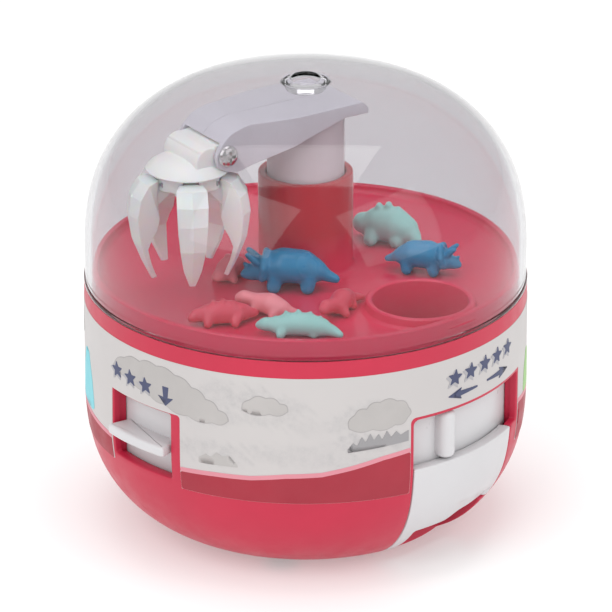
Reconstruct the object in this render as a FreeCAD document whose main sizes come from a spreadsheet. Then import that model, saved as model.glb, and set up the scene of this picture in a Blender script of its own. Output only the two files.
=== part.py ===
"""Table-top claw crane toy: a clear dome over a play tray, a swinging claw arm, and a moulded base."""
import FreeCAD, Part
import math
import os
import Sketcher
from FreeCAD import Placement, Rotation, Vector

os.makedirs("parts", exist_ok=True)
doc = FreeCAD.newDocument("claw_crane")
sheet = doc.addObject("Spreadsheet::Sheet", "sizes")
sheet_row = 0
nodes = {}


# ---------------------------------------------------------------- sizes and small helpers

class Size:
    """A length or an angle known twice: as a number, and as an expression on the sheet."""

    def __init__(self, value, text=None):
        self.value = float(value)
        self.text = text if text is not None else "(%r)" % self.value

    def join(self, other, sign, value):
        return Size(value, "(%s %s %s)" % (self.text, sign, other.text))

    def __add__(self, other):
        other = as_size(other)
        return self.join(other, "+", self.value + other.value)

    def __sub__(self, other):
        other = as_size(other)
        return self.join(other, "-", self.value - other.value)

    def __mul__(self, other):
        other = as_size(other)
        return self.join(other, "*", self.value * other.value)

    def __truediv__(self, other):
        other = as_size(other)
        return self.join(other, "/", self.value / other.value)

    def __radd__(self, other):
        return as_size(other) + self

    def __rsub__(self, other):
        return as_size(other) - self

    def __rmul__(self, other):
        return as_size(other) * self

    def __neg__(self):
        return as_size(0) - self


def as_size(number):
    return number if isinstance(number, Size) else Size(number)


def sin(angle):
    return Size(math.sin(math.radians(angle.value)), "sin(%s * 1 deg)" % angle.text)


def cos(angle):
    return Size(math.cos(math.radians(angle.value)), "cos(%s * 1 deg)" % angle.text)


def root(number):
    return Size(math.sqrt(number.value), "sqrt(%s)" % number.text)


def cell(name, value, note):
    """One row of the sheet: the size's name, its number and what it is."""
    global sheet_row
    sheet_row += 1
    sheet.set("A%d" % sheet_row, name)
    sheet.set("B%d" % sheet_row, repr(float(value)))
    sheet.set("C%d" % sheet_row, note)
    sheet.setAlias("B%d" % sheet_row, name)
    return Size(value, "sizes." + name)


def bind(thing, prop, size):
    size = as_size(size)
    thing.setExpression(prop, size.text)


def place(thing, x=0, y=0, z=0, turn=0, about=(0, 0, 1)):
    """Put an object at x, y, z, turned by an angle about one axis."""
    turn = as_size(turn)
    thing.Placement = Placement(Vector(0, 0, 0), Rotation(Vector(*about), turn.value or 1))
    for axis_name, size in (("x", x), ("y", y), ("z", z)):
        bind(thing, "Placement.Base." + axis_name, size)
    bind(thing, "Placement.Rotation.Angle", turn)
    return thing


def node(name, thing):
    """Name a finished sub-part; the name is its file's name."""
    thing.Label = name
    nodes[name] = thing
    return thing


def cylinder(name, radius, low, high, x=0, y=0, sweep=360, turn=0):
    thing = doc.addObject("Part::Cylinder", name)
    bind(thing, "Radius", radius)
    bind(thing, "Height", as_size(high) - low)
    bind(thing, "Angle", sweep)
    return place(thing, x, y, low, turn)


def cone(name, low_radius, high_radius, low, high, x=0, y=0):
    thing = doc.addObject("Part::Cone", name)
    bind(thing, "Radius1", low_radius)
    bind(thing, "Radius2", high_radius)
    bind(thing, "Height", as_size(high) - low)
    return place(thing, x, y, low)


def rod(name, radius, length, x, y, z, about_turn):
    """A cylinder lying level, centred on x, y, z, its axis turned from +X by about_turn."""
    upright = doc.addObject("Part::Cylinder", name + "_bar")
    bind(upright, "Radius", radius)
    bind(upright, "Height", length)
    place(upright, as_size(length) / -2, 0, 0, 90, (0, 1, 0))
    carrier = doc.addObject("Part::Compound", name)
    carrier.Links = [upright]
    return place(carrier, x, y, z, about_turn)


def box(name, x_low, x_high, y_low, y_high, z_low, z_high, turn=0):
    """A block given by its corners, then turned about the vertical axis."""
    block = doc.addObject("Part::Box", name + "_block")
    bind(block, "Length", as_size(x_high) - x_low)
    bind(block, "Width", as_size(y_high) - y_low)
    bind(block, "Height", as_size(z_high) - z_low)
    place(block, x_low, y_low, z_low)
    carrier = doc.addObject("Part::Compound", name)
    carrier.Links = [block]
    return place(carrier, turn=turn)


def fuse(name, things):
    thing = doc.addObject("Part::MultiFuse", name)
    thing.Shapes = things
    return thing


def cut(name, base, tools):
    thing = doc.addObject("Part::Cut", name)
    thing.Base = base
    thing.Tool = tools[0] if len(tools) == 1 else fuse(name + "_tools", tools)
    return thing


def common(name, things):
    thing = doc.addObject("Part::MultiCommon", name)
    thing.Shapes = things
    return thing


def group(name, things):
    thing = doc.addObject("Part::Compound", name)
    thing.Links = things
    return thing


def ring(name, inner, outer, low, high, x=0, y=0):
    disc = cylinder(name + "_disc", outer, low, high, x, y)
    hole = cylinder(name + "_hole", inner, as_size(low) - 1, as_size(high) + 1, x, y)
    return cut(name, disc, [hole])


def sector(name, inner, outer, low, high, start, end):
    """A piece of a ring between two bearings, which are counted from the front towards +X."""
    start = as_size(start)
    slice_outer = cylinder(name + "_pie", outer, low, high, sweep=as_size(end) - start, turn=start - 90)
    core = cylinder(name + "_core", inner, as_size(low) - 1, as_size(high) + 1)
    return cut(name, slice_outer, [core])


def at_bearing(radius, bearing):
    """x and y of a point at a radius and a bearing from the front."""
    return radius * sin(bearing), -(radius * cos(bearing))


def origin_plane(body, role):
    for feature in body.Origin.OriginFeatures:
        if feature.Role == role:
            return feature
    raise ValueError("no plane " + role)


def draw(sketch, outline):
    """Draw a closed outline in a sketch and tie every corner and arc to the sheet.

    Each corner is (x, y) for a straight side that ends there, or (x, y, radius, bulge) for an arc
    that ends there: bulge +1 turns left along the outline, -1 turns right.
    """
    corners = [tuple(as_size(part) for part in corner[:2]) for corner in outline]
    count = len(outline)
    ends = []
    for index, corner in enumerate(outline):
        before = corners[index - 1]
        after = corners[index]
        first = Vector(before[0].value, before[1].value, 0)
        last = Vector(after[0].value, after[1].value, 0)
        if len(corner) == 2:
            number = sketch.addGeometry(Part.LineSegment(first, last))
            ends.append((number, 1, 2))
            continue
        radius = as_size(corner[2])
        left = corner[3] > 0
        chord = last - first
        middle = (first + last) * 0.5
        depth = math.sqrt(max(radius.value ** 2 - (chord.Length / 2) ** 2, 0))
        side = Vector(-chord.y, chord.x, 0).normalize() * (depth if left else -depth)
        centre = middle + side
        begin, finish = (first, last) if left else (last, first)
        begin_angle = math.atan2(begin.y - centre.y, begin.x - centre.x)
        finish_angle = math.atan2(finish.y - centre.y, finish.x - centre.x)
        circle = Part.Circle(centre, Vector(0, 0, 1), radius.value)
        number = sketch.addGeometry(Part.ArcOfCircle(circle, begin_angle, finish_angle))
        ends.append((number, 1, 2) if left else (number, 2, 1))
        radius_rule = sketch.addConstraint(Sketcher.Constraint("Radius", number, radius.value))
        bind(sketch, "Constraints[%d]" % radius_rule, radius)
    for index in range(count):
        number, begin, finish = ends[index]
        following = ends[(index + 1) % count]
        sketch.addConstraint(Sketcher.Constraint("Coincident", number, finish, following[0], following[1]))
        for kind, size, axis in (("DistanceX", corners[index][0], -2), ("DistanceY", corners[index][1], -1)):
            if size.value == 0:
                sketch.addConstraint(Sketcher.Constraint("PointOnObject", number, finish, axis))
                continue
            rule = sketch.addConstraint(Sketcher.Constraint(kind, -1, 1, number, finish, size.value))
            bind(sketch, "Constraints[%d]" % rule, size)


def sketched(name, plane, outline):
    body = doc.addObject("PartDesign::Body", name)
    sketch = body.newObject("Sketcher::SketchObject", name + "_sketch")
    sketch.AttachmentSupport = [(origin_plane(body, plane), "")]
    sketch.MapMode = "FlatFace"
    draw(sketch, outline)
    return body, sketch


def turned(name, outline):
    """A body of revolution about the vertical axis: each corner is (radius, height)."""
    body, sketch = sketched(name, "XZ_Plane", outline)
    spin = body.newObject("PartDesign::Revolution", name + "_spin")
    spin.Profile = sketch
    spin.ReferenceAxis = (sketch, ["V_Axis"])
    spin.Angle = 360.0
    return body


def slab(name, outline, low, high):
    """A flat outline in plan, padded up from low to high."""
    body, sketch = sketched(name, "XY_Plane", outline)
    pad = body.newObject("PartDesign::Pad", name + "_pad")
    pad.Profile = sketch
    bind(pad, "Length", as_size(high) - low)
    return place(body, 0, 0, low)


def side_plate(name, outline, width):
    """An outline in the X-Z plane, padded equally both ways along Y."""
    body, sketch = sketched(name, "XZ_Plane", outline)
    pad = body.newObject("PartDesign::Pad", name + "_pad")
    pad.Profile = sketch
    pad.Midplane = True
    bind(pad, "Length", width)
    return body


def screw(name, head_radius, head_height, shank_radius, shank_length, slot):
    """A cross-head screw standing on its tip, with the underside of its head at height zero."""
    head = cylinder(name + "_head", head_radius, 0, head_height)
    shank = cylinder(name + "_shank", shank_radius, -as_size(shank_length), 0)
    long_way = as_size(head_radius) * 0.55
    depth = as_size(head_height) * 0.55
    slots = []
    for turn in (0, 90):
        slots.append(box("%s_slot_%d" % (name, turn), -long_way, long_way, slot / -2, slot / 2,
                         as_size(head_height) - depth, as_size(head_height) + 1, turn))
    return cut(name, fuse(name + "_solid", [head, shank]), slots)


def copy_at(name, source, x, y, z, turn=0, about=(0, 0, 1)):
    """A second piece of the same shape, in its own place."""
    carrier = doc.addObject("Part::Compound", name)
    carrier.Links = [source]
    return place(carrier, x, y, z, turn, about)


# ---------------------------------------------------------------- driving sizes (mm and degrees)

case_radius = cell("case_radius", 62.5, "outer radius of base and dome")
base_rise = cell("base_rise", 71.5, "height of the seam between base and dome")
base_wall = cell("base_wall", 2.0, "wall of the base")
floor_wall = cell("floor_wall", 2.2, "thickness of the base's floor")
side_bend = cell("side_bend", 39.2, "height where the base's side starts to curve in")
side_bow = cell("side_bow", 66.7, "radius of the upper curve of the base")
side_bow_turn = cell("side_bow_turn", 10.2, "turn of the upper curve")
foot_bow = cell("foot_bow", 33.7, "radius of the lower curve of the base")

dome_straight = cell("dome_straight", 11.4, "straight wall of the dome above the seam")
dome_side_bow = cell("dome_side_bow", 63.5, "radius of the dome's side curve")
dome_side_turn = cell("dome_side_turn", 12.9, "turn of the side curve")
dome_shoulder = cell("dome_shoulder", 39.3, "radius of the dome's shoulder")
dome_shoulder_turn = cell("dome_shoulder_turn", 58.3, "turn of the shoulder")
dome_wall = cell("dome_wall", 1.8, "wall of the dome")
dome_foot_rise = cell("dome_foot_rise", 1.4, "height of the thicker band at the dome's foot")
dome_foot_step = cell("dome_foot_step", 0.3, "how far the foot band stands proud")
dimple_radius = cell("dimple_radius", 4.2, "radius of the dimple at the dome's top")
dimple_depth = cell("dimple_depth", 2.8, "depth of the dimple")

seat_gap = cell("seat_gap", 0.3, "general gap between pieces that do not fit")
run_gap = cell("run_gap", 0.06, "radial clearance of a turning fit")
slip_gap = cell("slip_gap", 0.2, "gap of a loose seat")

label_drop = cell("label_drop", 4.9, "plain band between the seam and the label")
label_rise = cell("label_rise", 37.7, "height of the label")
label_skin = cell("label_skin", 0.15, "thickness of the label")
label_margin = cell("label_margin", 1.0, "plain border around the windows in the label")

tray_floor = cell("tray_floor", 3.2, "play surface above the seam")
tray_wall = cell("tray_wall", 1.8, "thickness of the tray")
rim_rise = cell("rim_rise", 5.65, "top of the tray's rim above the seam")
collar_bore = cell("collar_bore", 11.25, "inner radius of the collar round the column")
collar_wall = cell("collar_wall", 2.05, "wall of the collar")
collar_top = cell("collar_top", 32.0, "top of the collar above the seam")
chute_reach = cell("chute_reach", 44.5, "distance of the prize chute from the middle")
chute_bearing = cell("chute_bearing", 45.0, "bearing of the prize chute")
chute_bore = cell("chute_bore", 13.1, "inner radius of the chute's ring")
chute_rise = cell("chute_rise", 5.0, "top of the chute's ring above the seam")
duct_reach = cell("duct_reach", 41.4, "distance of the chute's duct from the middle")
duct_bore = cell("duct_bore", 12.6, "inner radius of the duct")
duct_wall = cell("duct_wall", 1.5, "wall of the duct")

move_left = cell("move_left", 28.5, "left edge of the slide window")
move_right = cell("move_right", 71.1, "right edge of the slide window")
move_low = cell("move_low", 35.9, "lower edge of the slide window")
move_high = cell("move_high", 50.7, "upper edge of the slide window")
knob_bearing = cell("knob_bearing", 40.0, "bearing of the slide's thumb rib at rest")
knob_proud = cell("knob_proud", 4.0, "how far the thumb rib stands out of the slide")
knob_width = cell("knob_width", 5.2, "width of the thumb rib")
slide_outer = cell("slide_outer", 58.8, "outer radius of the slide band")
slide_wall = cell("slide_wall", 1.5, "thickness of the slide band")

grab_left = cell("grab_left", -58.8, "left edge of the lever window")
grab_right = cell("grab_right", -34.5, "right edge of the lever window")
grab_low = cell("grab_low", 31.0, "lower edge of the lever window")
grab_high = cell("grab_high", 50.6, "upper edge of the lever window")
lever_outer = cell("lever_outer", 58.2, "outer radius of the lever plate")
lever_wall = cell("lever_wall", 1.5, "thickness of the lever plate")
lever_travel = cell("lever_travel", 4.6, "how far the lever is pressed down")
tab_reach = cell("tab_reach", 65.0, "outer radius of the lever's thumb tab")
tab_low = cell("tab_low", 38.0, "underside of the thumb tab")
tab_wall = cell("tab_wall", 3.0, "thickness of the thumb tab")
foot_low = cell("foot_low", 33.2, "underside of the lever's inner foot")
foot_wall = cell("foot_wall", 2.0, "thickness of the inner foot")

cover_right = cell("cover_right", 67.0, "right edge of the outlet cover")
cover_low = cell("cover_low", 14.0, "lower edge of the outlet cover")
outlet_left = cell("outlet_left", 32.0, "left side of the prize outlet")
outlet_right = cell("outlet_right", 61.0, "right side of the prize outlet")
outlet_lip = cell("outlet_lip", 3.0, "height of the lip of the prize outlet")

deck_radius = cell("deck_radius", 50.0, "radius of the gear deck")
deck_low = cell("deck_low", 38.0, "underside of the gear deck")
deck_wall = cell("deck_wall", 2.0, "thickness of the gear deck")
gear_low = cell("gear_low", 41.0, "underside of the gears")
gear_wide = cell("gear_wide", 5.0, "face width of the gears")
tooth_module = cell("tooth_module", 1.0, "module of the gear teeth")
train_bearing = cell("train_bearing", 150.0, "bearing of the two idler gears")
column_teeth = 30
idler_teeth = 20
rack_teeth_round = 110
rack_teeth = 17

column_radius = cell("column_radius", 10.8, "outer radius of the column")
column_bore = cell("column_bore", 9.4, "inner radius of the column")
column_top = cell("column_top", 48.8, "top of the column above the seam")
stub_radius = cell("stub_radius", 7.0, "radius of the column's lower stub")
pusher_radius = cell("pusher_radius", 2.0, "radius of the push rod")

arm_bearing = cell("arm_bearing", -56.0, "bearing of the arm at rest")
pivot_rise = cell("pivot_rise", 47.5, "arm pivot above the seam")
pivot_radius = cell("pivot_radius", 1.5, "radius of the arm pivot pin")
crank_reach = cell("crank_reach", 6.6, "distance from the arm pivot to the crank peg")
wrist_reach = cell("wrist_reach", 32.3, "distance from the column's axis to the wrist screw")
wrist_rise = cell("wrist_rise", 45.7, "wrist screw above the seam")
arm_wall = cell("arm_wall", 1.4, "wall of the arm's shells")
arm_half = cell("arm_half", 12.7, "half width of the arm at the column")
hand_half = cell("hand_half", 10.0, "half width of the arm at the wrist")
arm_top = cell("arm_top", 53.0, "top of the arm above the seam")

claw_reach = cell("claw_reach", 38.8, "distance from the column's axis to the claw's axis")
finger_pivot_reach = cell("finger_pivot_reach", 8.5, "finger pins from the claw's axis")
finger_pivot_rise = cell("finger_pivot_rise", 37.9, "finger pins above the seam")
finger_tip_reach = cell("finger_tip_reach", 10.6, "finger tips from the claw's axis")
finger_tip_rise = cell("finger_tip_rise", 10.4, "finger tips above the seam")
finger_width = cell("finger_width", 6.6, "width of a finger at its knuckle")
finger_count = 5
finger_start = cell("finger_start", -66.0, "bearing of the first finger")

rocker_bearing = cell("rocker_bearing", -50.0, "bearing of the rocker")
rocker_pivot = cell("rocker_pivot", 12.0, "rocker pin from the middle")
rocker_long = cell("rocker_long", 51.0, "where the lever's foot presses the rocker")
rocker_middle = cell("rocker_middle", 31.4, "height of the rocker's middle")
rocker_thick = cell("rocker_thick", 3.0, "thickness of the rocker")
rocker_wide = cell("rocker_wide", 5.0, "width of the rocker")
spring_bearing = cell("spring_bearing", -41.0, "bearing of the lever's spring")
spring_reach = cell("spring_reach", 51.0, "distance of the lever's spring from the middle")
spring_foot = cell("spring_foot", 16.0, "height of the spring's lower seat")
spring_coil = cell("spring_coil", 2.6, "radius of the spring's coils")
spring_wire = cell("spring_wire", 0.3, "radius of the spring's wire")

post_reach = cell("post_reach", 39.5, "distance of the case posts from the middle")
post_radius = cell("post_radius", 3.2, "radius of the case posts")
post_foot = cell("post_foot", 14.2, "lower end of the case posts")
well_radius = cell("well_radius", 4.4, "radius of the screw wells in the base")
well_depth = cell("well_depth", 11.4, "depth of the screw wells")
deck_post_reach = cell("deck_post_reach", 46.0, "distance of the deck posts from the middle")

seam = base_rise
case_post_bearings = (-10, 100, 210)
deck_post_bearings = (5, 120, 250)


# ---------------------------------------------------------------- base: shell, outlet cover and label

def case_outline(inset, low, high):
    """Half section of a solid that fills the base, its skin set in by inset."""
    bow_x = case_radius - side_bow
    foot_x = bow_x + (side_bow - foot_bow) * cos(side_bow_turn)
    foot_z = side_bend - (side_bow - foot_bow) * sin(side_bow_turn)
    upper = side_bow - inset
    lower = foot_bow - inset
    drop = foot_z - low
    flat = foot_x + root(lower * lower - drop * drop)
    return [
        (0, low),
        (flat, low),
        (bow_x + upper * cos(side_bow_turn), side_bend - upper * sin(side_bow_turn), lower, 1),
        (case_radius - inset, side_bend, upper, 1),
        (case_radius - inset, high),
        (0, high),
    ]


case_blank = turned("case_blank", case_outline(as_size(0), as_size(0), seam))
case_hollow = turned("case_hollow", case_outline(base_wall, floor_wall, seam + 1))
skin_blank = turned("skin_blank", case_outline(label_skin, as_size(0.5), seam + 1))

rim_outer = case_radius - dome_foot_step - dome_wall - slip_gap
rim_inner = rim_outer - tray_wall
tray_top = seam + tray_floor
tray_under = tray_top - tray_wall
ledge_top = seam - 2.2
ledge_wall = as_size(1.8)
post_foot = well_depth + floor_wall + slip_gap
slide_low = move_low - 1.9
slide_high = move_high + 2.3
slide_inner = slide_outer - slide_wall
lever_inner = lever_outer - lever_wall
duct_outer = duct_bore + duct_wall
deck_top = deck_low + deck_wall
duct_x, duct_y = at_bearing(duct_reach, chute_bearing)
chute_x, chute_y = at_bearing(chute_reach, chute_bearing)
spring_x, spring_y = at_bearing(spring_reach, spring_bearing)
rail_reach = as_size(1.2)


def base_fittings():
    """Everything that stands up inside the base: wells, posts, ledge, rails and guides."""
    inside = [sector("tray_ledge", case_radius - 5, case_radius - 1, ledge_top - ledge_wall, ledge_top, 72, 378)]
    low_rail = (slide_inner - seat_gap, case_radius - 0.5, slide_low - seat_gap - 1.8, slide_low - seat_gap)
    high_rail = (slide_inner - seat_gap, case_radius - 0.5, slide_high + seat_gap, slide_high + seat_gap + 1.8)
    inside.append(sector("low_rail", *low_rail, move_right + 1, 205))
    inside.append(sector("high_rail", *high_rail, move_right + 1, 205))
    for side, start in (("left", grab_left - 2.0), ("right", grab_right + 0.4)):
        inside.append(sector("lever_guide_" + side, lever_outer + slip_gap, case_radius - 1,
                             foot_low - 6, grab_high + 6, start, start + 1.6))
    for number, bearing in enumerate(case_post_bearings):
        x, y = at_bearing(post_reach, as_size(bearing))
        inside.append(cylinder("well_%d" % number, well_radius + 1.6, 0.2, well_depth + floor_wall, x, y))
    for number, bearing in enumerate(deck_post_bearings):
        x, y = at_bearing(deck_post_reach, as_size(bearing))
        inside.append(cylinder("deck_post_%d" % number, 3.0, 1.0, deck_low, x, y))
    inside.append(cylinder("spring_seat", spring_coil + 1.2, 3.0, spring_foot, spring_x, spring_y))
    return common("base_inside", [case_blank, fuse("base_fittings", inside)])


label_top = seam - label_drop
label_low = label_top - label_rise
label_zone = ring("label_zone", case_radius - 12, case_radius + 5, label_low, label_top)
label_sheet = common("label_sheet", [cut("label_skin_all", case_blank, [skin_blank]), label_zone])

move_hole = sector("move_hole", 50, 70, move_low, move_high, move_left, move_right)
cover_leg = outlet_left - 0.3
cover_hole = fuse("cover_hole", [
    sector("cover_hole_upper", 40, 70, cover_low, move_low + 0.01, move_left, cover_right),
    sector("cover_hole_leg", 33, 70, outlet_lip, cover_low + 0.01, move_left, outlet_left + 0.01),
])
grab_hole = sector("grab_hole", 50, 70, grab_low, grab_high, grab_left, grab_right)
outlet_hole = sector("outlet_hole", 33, 70, outlet_lip, cover_low + 0.01, outlet_left, outlet_right)


def base_holes():
    holes = [move_hole, cover_hole, grab_hole, outlet_hole, label_sheet]
    for number, bearing in enumerate(case_post_bearings):
        x, y = at_bearing(post_reach, as_size(bearing))
        holes.append(cylinder("well_hole_%d" % number, well_radius, -1, well_depth, x, y))
        holes.append(cylinder("well_shank_%d" % number, 1.6, 0, post_foot + 1, x, y))
    for number, bearing in enumerate(deck_post_bearings):
        x, y = at_bearing(deck_post_reach, as_size(bearing))
        holes.append(cylinder("deck_pilot_%d" % number, 1.2, deck_low - 9, deck_low + 1, x, y))
    return holes


base_wall_ring = cut("base_wall_ring", case_blank, [case_hollow])
node("base_shell", cut("base_shell", fuse("base_body", [base_wall_ring, base_fittings()]), base_holes()))

label_gaps = [
    sector("label_move_gap", 50, 70, label_low - 1, move_high + label_margin,
           move_left - label_margin, move_right + label_margin),
    sector("label_grab_gap", 50, 70, grab_low - label_margin, grab_high + label_margin,
           grab_left - label_margin, grab_right + label_margin),
]
node("label_band", cut("label_band", label_sheet, label_gaps))

cover_gap = as_size(0.1)
cover_zone = fuse("cover_zone", [
    sector("cover_zone_upper", 40, 70, cover_low, move_low, move_left + cover_gap, cover_right - cover_gap),
    sector("cover_zone_leg", 34, 70, outlet_lip + cover_gap, cover_low + 1, move_left + cover_gap, cover_leg),
])
cover_shelf = sector("cover_shelf", slide_outer + seat_gap, case_radius - 0.2, move_low - 2.2, move_low,
                     move_left + cover_gap, cover_right - cover_gap)
cover_skin = common("cover_skin", [base_wall_ring, cover_zone])
cover_ledge = common("cover_ledge", [case_blank, cover_shelf])
scoop_blank = turned("scoop_blank", case_outline(as_size(0.9), as_size(1.0), seam + 1))
scoop = cut("scoop", sector("scoop_zone", 40, 70, cover_low + 1.6, cover_low + 7.4, 47, 62), [scoop_blank])
node("outlet_cover", cut("outlet_cover", fuse("cover_solid", [cover_skin, cover_ledge]), [scoop]))


# ---------------------------------------------------------------- dome

def dome_joint(inset, turn_angle):
    """Where the dome's side meets its shoulder, or its shoulder meets the crown, set in by inset."""
    side_x = case_radius - dome_side_bow
    side_z = seam + dome_straight
    shoulder_x = side_x + (dome_side_bow - dome_shoulder) * cos(dome_side_turn)
    shoulder_z = side_z + (dome_side_bow - dome_shoulder) * sin(dome_side_turn)
    reach = dome_shoulder - inset
    return shoulder_x + reach * cos(turn_angle), shoulder_z + reach * sin(turn_angle)


crown_turn = dome_side_turn + dome_shoulder_turn
shoulder_centre = dome_joint(dome_shoulder, crown_turn)
crown_extra = shoulder_centre[0] / cos(crown_turn)
crown_radius = dome_shoulder + crown_extra
crown_centre = shoulder_centre[1] - crown_extra * sin(crown_turn)
dome_inset = dome_foot_step + dome_wall


def crown_height(inset, radius):
    reach = crown_radius - inset
    return crown_centre + root(reach * reach - radius * radius)


def dome_outline():
    outer_dimple = crown_height(dome_foot_step, dimple_radius)
    dimple_floor = outer_dimple - dimple_depth
    lip = dimple_radius + dome_wall
    wall_start = seam + dome_straight
    return [
        (0, dimple_floor - dome_wall),
        (lip, dimple_floor - dome_wall),
        (lip, crown_height(dome_inset, lip)),
        (*dome_joint(dome_inset, crown_turn), crown_radius - dome_inset, -1),
        (*dome_joint(dome_inset, dome_side_turn), dome_shoulder - dome_inset, -1),
        (case_radius - dome_inset, wall_start, dome_side_bow - dome_inset, -1),
        (case_radius - dome_inset, seam),
        (case_radius, seam),
        (case_radius, seam + dome_foot_rise),
        (case_radius - dome_foot_step, seam + dome_foot_rise),
        (case_radius - dome_foot_step, wall_start),
        (*dome_joint(dome_foot_step, dome_side_turn), dome_side_bow - dome_foot_step, 1),
        (*dome_joint(dome_foot_step, crown_turn), dome_shoulder - dome_foot_step, 1),
        (dimple_radius, outer_dimple, crown_radius - dome_foot_step, 1),
        (dimple_radius, dimple_floor),
        (0, dimple_floor),
    ]


node("dome", turned("dome", dome_outline()))


# ---------------------------------------------------------------- tray, duct and deck

collar_outer = collar_bore + collar_wall
soft_corner = as_size(1.5)
bearing_bore = column_radius + run_gap
tray_disc = turned("tray_disc", [
    (bearing_bore, tray_under),
    (rim_inner, tray_under),
    (rim_inner, ledge_top),
    (rim_outer, ledge_top),
    (rim_outer, seam + rim_rise),
    (rim_inner, seam + rim_rise),
    (rim_inner, tray_top + soft_corner),
    (rim_inner - soft_corner, tray_top, soft_corner, -1),
    (collar_outer + soft_corner, tray_top),
    (collar_outer, tray_top + soft_corner, soft_corner, -1),
    (collar_outer, seam + collar_top),
    (collar_bore, seam + collar_top),
    (collar_bore, tray_under + 2.5),
    (bearing_bore, tray_under + 2.5),
])
chute_low = as_size(66.0)
tray_solids = [tray_disc, cylinder("chute_ring", chute_bore + 2.0, chute_low, seam + chute_rise, chute_x, chute_y)]
tray_holes = [cylinder("chute_hole", chute_bore, chute_low - 1, seam + chute_rise + 1, chute_x, chute_y)]
for post_number, post_bearing in enumerate(case_post_bearings):
    post_x, post_y = at_bearing(post_reach, as_size(post_bearing))
    tray_solids.append(cylinder("case_post_%d" % post_number, post_radius, post_foot, tray_top - 0.5, post_x, post_y))
    tray_holes.append(cylinder("case_pilot_%d" % post_number, 1.2, post_foot - 1, post_foot + 11, post_x, post_y))
node("play_tray", cut("play_tray", fuse("tray_body", tray_solids), tray_holes))


def loft(name, low_radius, low_z, low_reach, high_radius, high_z, high_reach):
    circles = []
    for end, radius, height, reach in (("low", low_radius, low_z, low_reach), ("high", high_radius, high_z, high_reach)):
        circle = doc.addObject("Part::Circle", name + "_" + end)
        bind(circle, "Radius", radius)
        x, y = at_bearing(reach, chute_bearing)
        circles.append(place(circle, x, y, height))
    thing = doc.addObject("Part::Loft", name)
    thing.Sections = circles
    thing.Solid = True
    thing.Ruled = True
    return thing


funnel_low = as_size(56.0)
funnel_high = chute_low - seat_gap
duct_room = turned("duct_room", case_outline(base_wall + seat_gap, floor_wall + 0.1, seam - 1))
duct_tube = cylinder("duct_tube", duct_outer, 1, funnel_low, duct_x, duct_y)
duct_funnel = loft("duct_funnel", duct_outer, funnel_low, duct_reach, chute_bore + 1.8, funnel_high, chute_reach)
duct_inside = cylinder("duct_inside", duct_bore, 0, funnel_low, duct_x, duct_y)
duct_throat = loft("duct_throat", duct_bore, funnel_low, duct_reach, chute_bore + 0.3, funnel_high, chute_reach)
ramp_block = doc.addObject("Part::Box", "ramp_block")
bind(ramp_block, "Length", 60)
bind(ramp_block, "Width", 60)
bind(ramp_block, "Height", 1.6)
place(ramp_block, -30, -30, 0)
ramp_tilt = copy_at("ramp_tilt", ramp_block, 0, 0, 0, 46, (0, 1, 0))
ramp_sheet = copy_at("ramp_sheet", ramp_tilt, duct_x, duct_y, 5.6, chute_bearing - 90)
duct_ramp = common("duct_ramp", [ramp_sheet, cylinder("ramp_round", duct_outer, 0, 40, duct_x, duct_y)])
duct_mouth = sector("duct_mouth", duct_reach - 2, 80, 0, cover_low + 1, outlet_left - 1, outlet_right + 1)
duct_wall_tube = cut("duct_wall_tube", fuse("duct_solid", [duct_tube, duct_funnel]), [duct_inside, duct_throat])
duct_open = cut("duct_open", duct_wall_tube, [duct_mouth])
node("chute_duct", common("chute_duct", [duct_room, fuse("duct_with_ramp", [duct_open, duct_ramp])]))

idler_bearing_turn = train_bearing - 90
column_pitch = as_size(column_teeth) * tooth_module / 2
idler_pitch = as_size(idler_teeth) * tooth_module / 2
rack_pitch = as_size(rack_teeth_round) * tooth_module / 2
inner_reach = column_pitch + idler_pitch
outer_reach = rack_pitch - idler_pitch
inner_x, inner_y = at_bearing(inner_reach, train_bearing)
outer_x, outer_y = at_bearing(outer_reach, train_bearing)
pin_radius = as_size(1.5)


def gear_deck():
    solids = [cylinder("deck_disc", deck_radius, deck_low, deck_top)]
    holes = [
        cylinder("deck_bore", stub_radius + run_gap, deck_low - 1, deck_top + 1),
        cylinder("deck_duct_hole", duct_outer + 0.4, deck_low - 1, deck_top + 1, duct_x, duct_y),
    ]
    for name, x, y in (("inner", inner_x, inner_y), ("outer", outer_x, outer_y)):
        solids.append(cylinder("idler_boss_" + name, pin_radius + 2, deck_top, gear_low - slip_gap, x, y))
        holes.append(cylinder("idler_pin_hole_" + name, pin_radius, deck_low - 1, gear_low, x, y))
    for number, bearing in enumerate(case_post_bearings):
        x, y = at_bearing(post_reach, as_size(bearing))
        holes.append(cylinder("deck_post_hole_%d" % number, post_radius + 0.4, deck_low - 1, deck_top + 1, x, y))
    for number, bearing in enumerate(deck_post_bearings):
        x, y = at_bearing(deck_post_reach, as_size(bearing))
        holes.append(cylinder("deck_screw_hole_%d" % number, 1.4, deck_low - 1, deck_top + 1, x, y))
    lug_inner = rocker_wide / 2 + seat_gap
    lugs = []
    for side in (-1, 1):
        low, high = (lug_inner, lug_inner + 2) if side > 0 else (-lug_inner - 2, -lug_inner)
        lugs.append(box("rocker_lug_%d" % (side + 1), rocker_pivot - 2.2, rocker_pivot + 2.2, low, high,
                        rocker_middle - 2.4, deck_low + 0.5, rocker_bearing - 90))
    x, y = at_bearing(rocker_pivot, rocker_bearing)
    holes.append(rod("rocker_pin_hole", pin_radius, 12, x, y, rocker_middle, rocker_bearing))
    return cut("gear_deck", fuse("deck_solid", solids + lugs), holes)


node("gear_deck", gear_deck())


# ---------------------------------------------------------------- gears and the slide

def tooth(name, root_reach, tip_reach):
    """One straight-sided tooth on +X, from its root to its tip."""
    root_half = tooth_module * 0.95
    tip_half = tooth_module * 0.33
    return slab(name, [(root_reach, root_half), (root_reach, -root_half), (tip_reach, -tip_half), (tip_reach, tip_half)],
                gear_low, gear_low + gear_wide)


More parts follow.
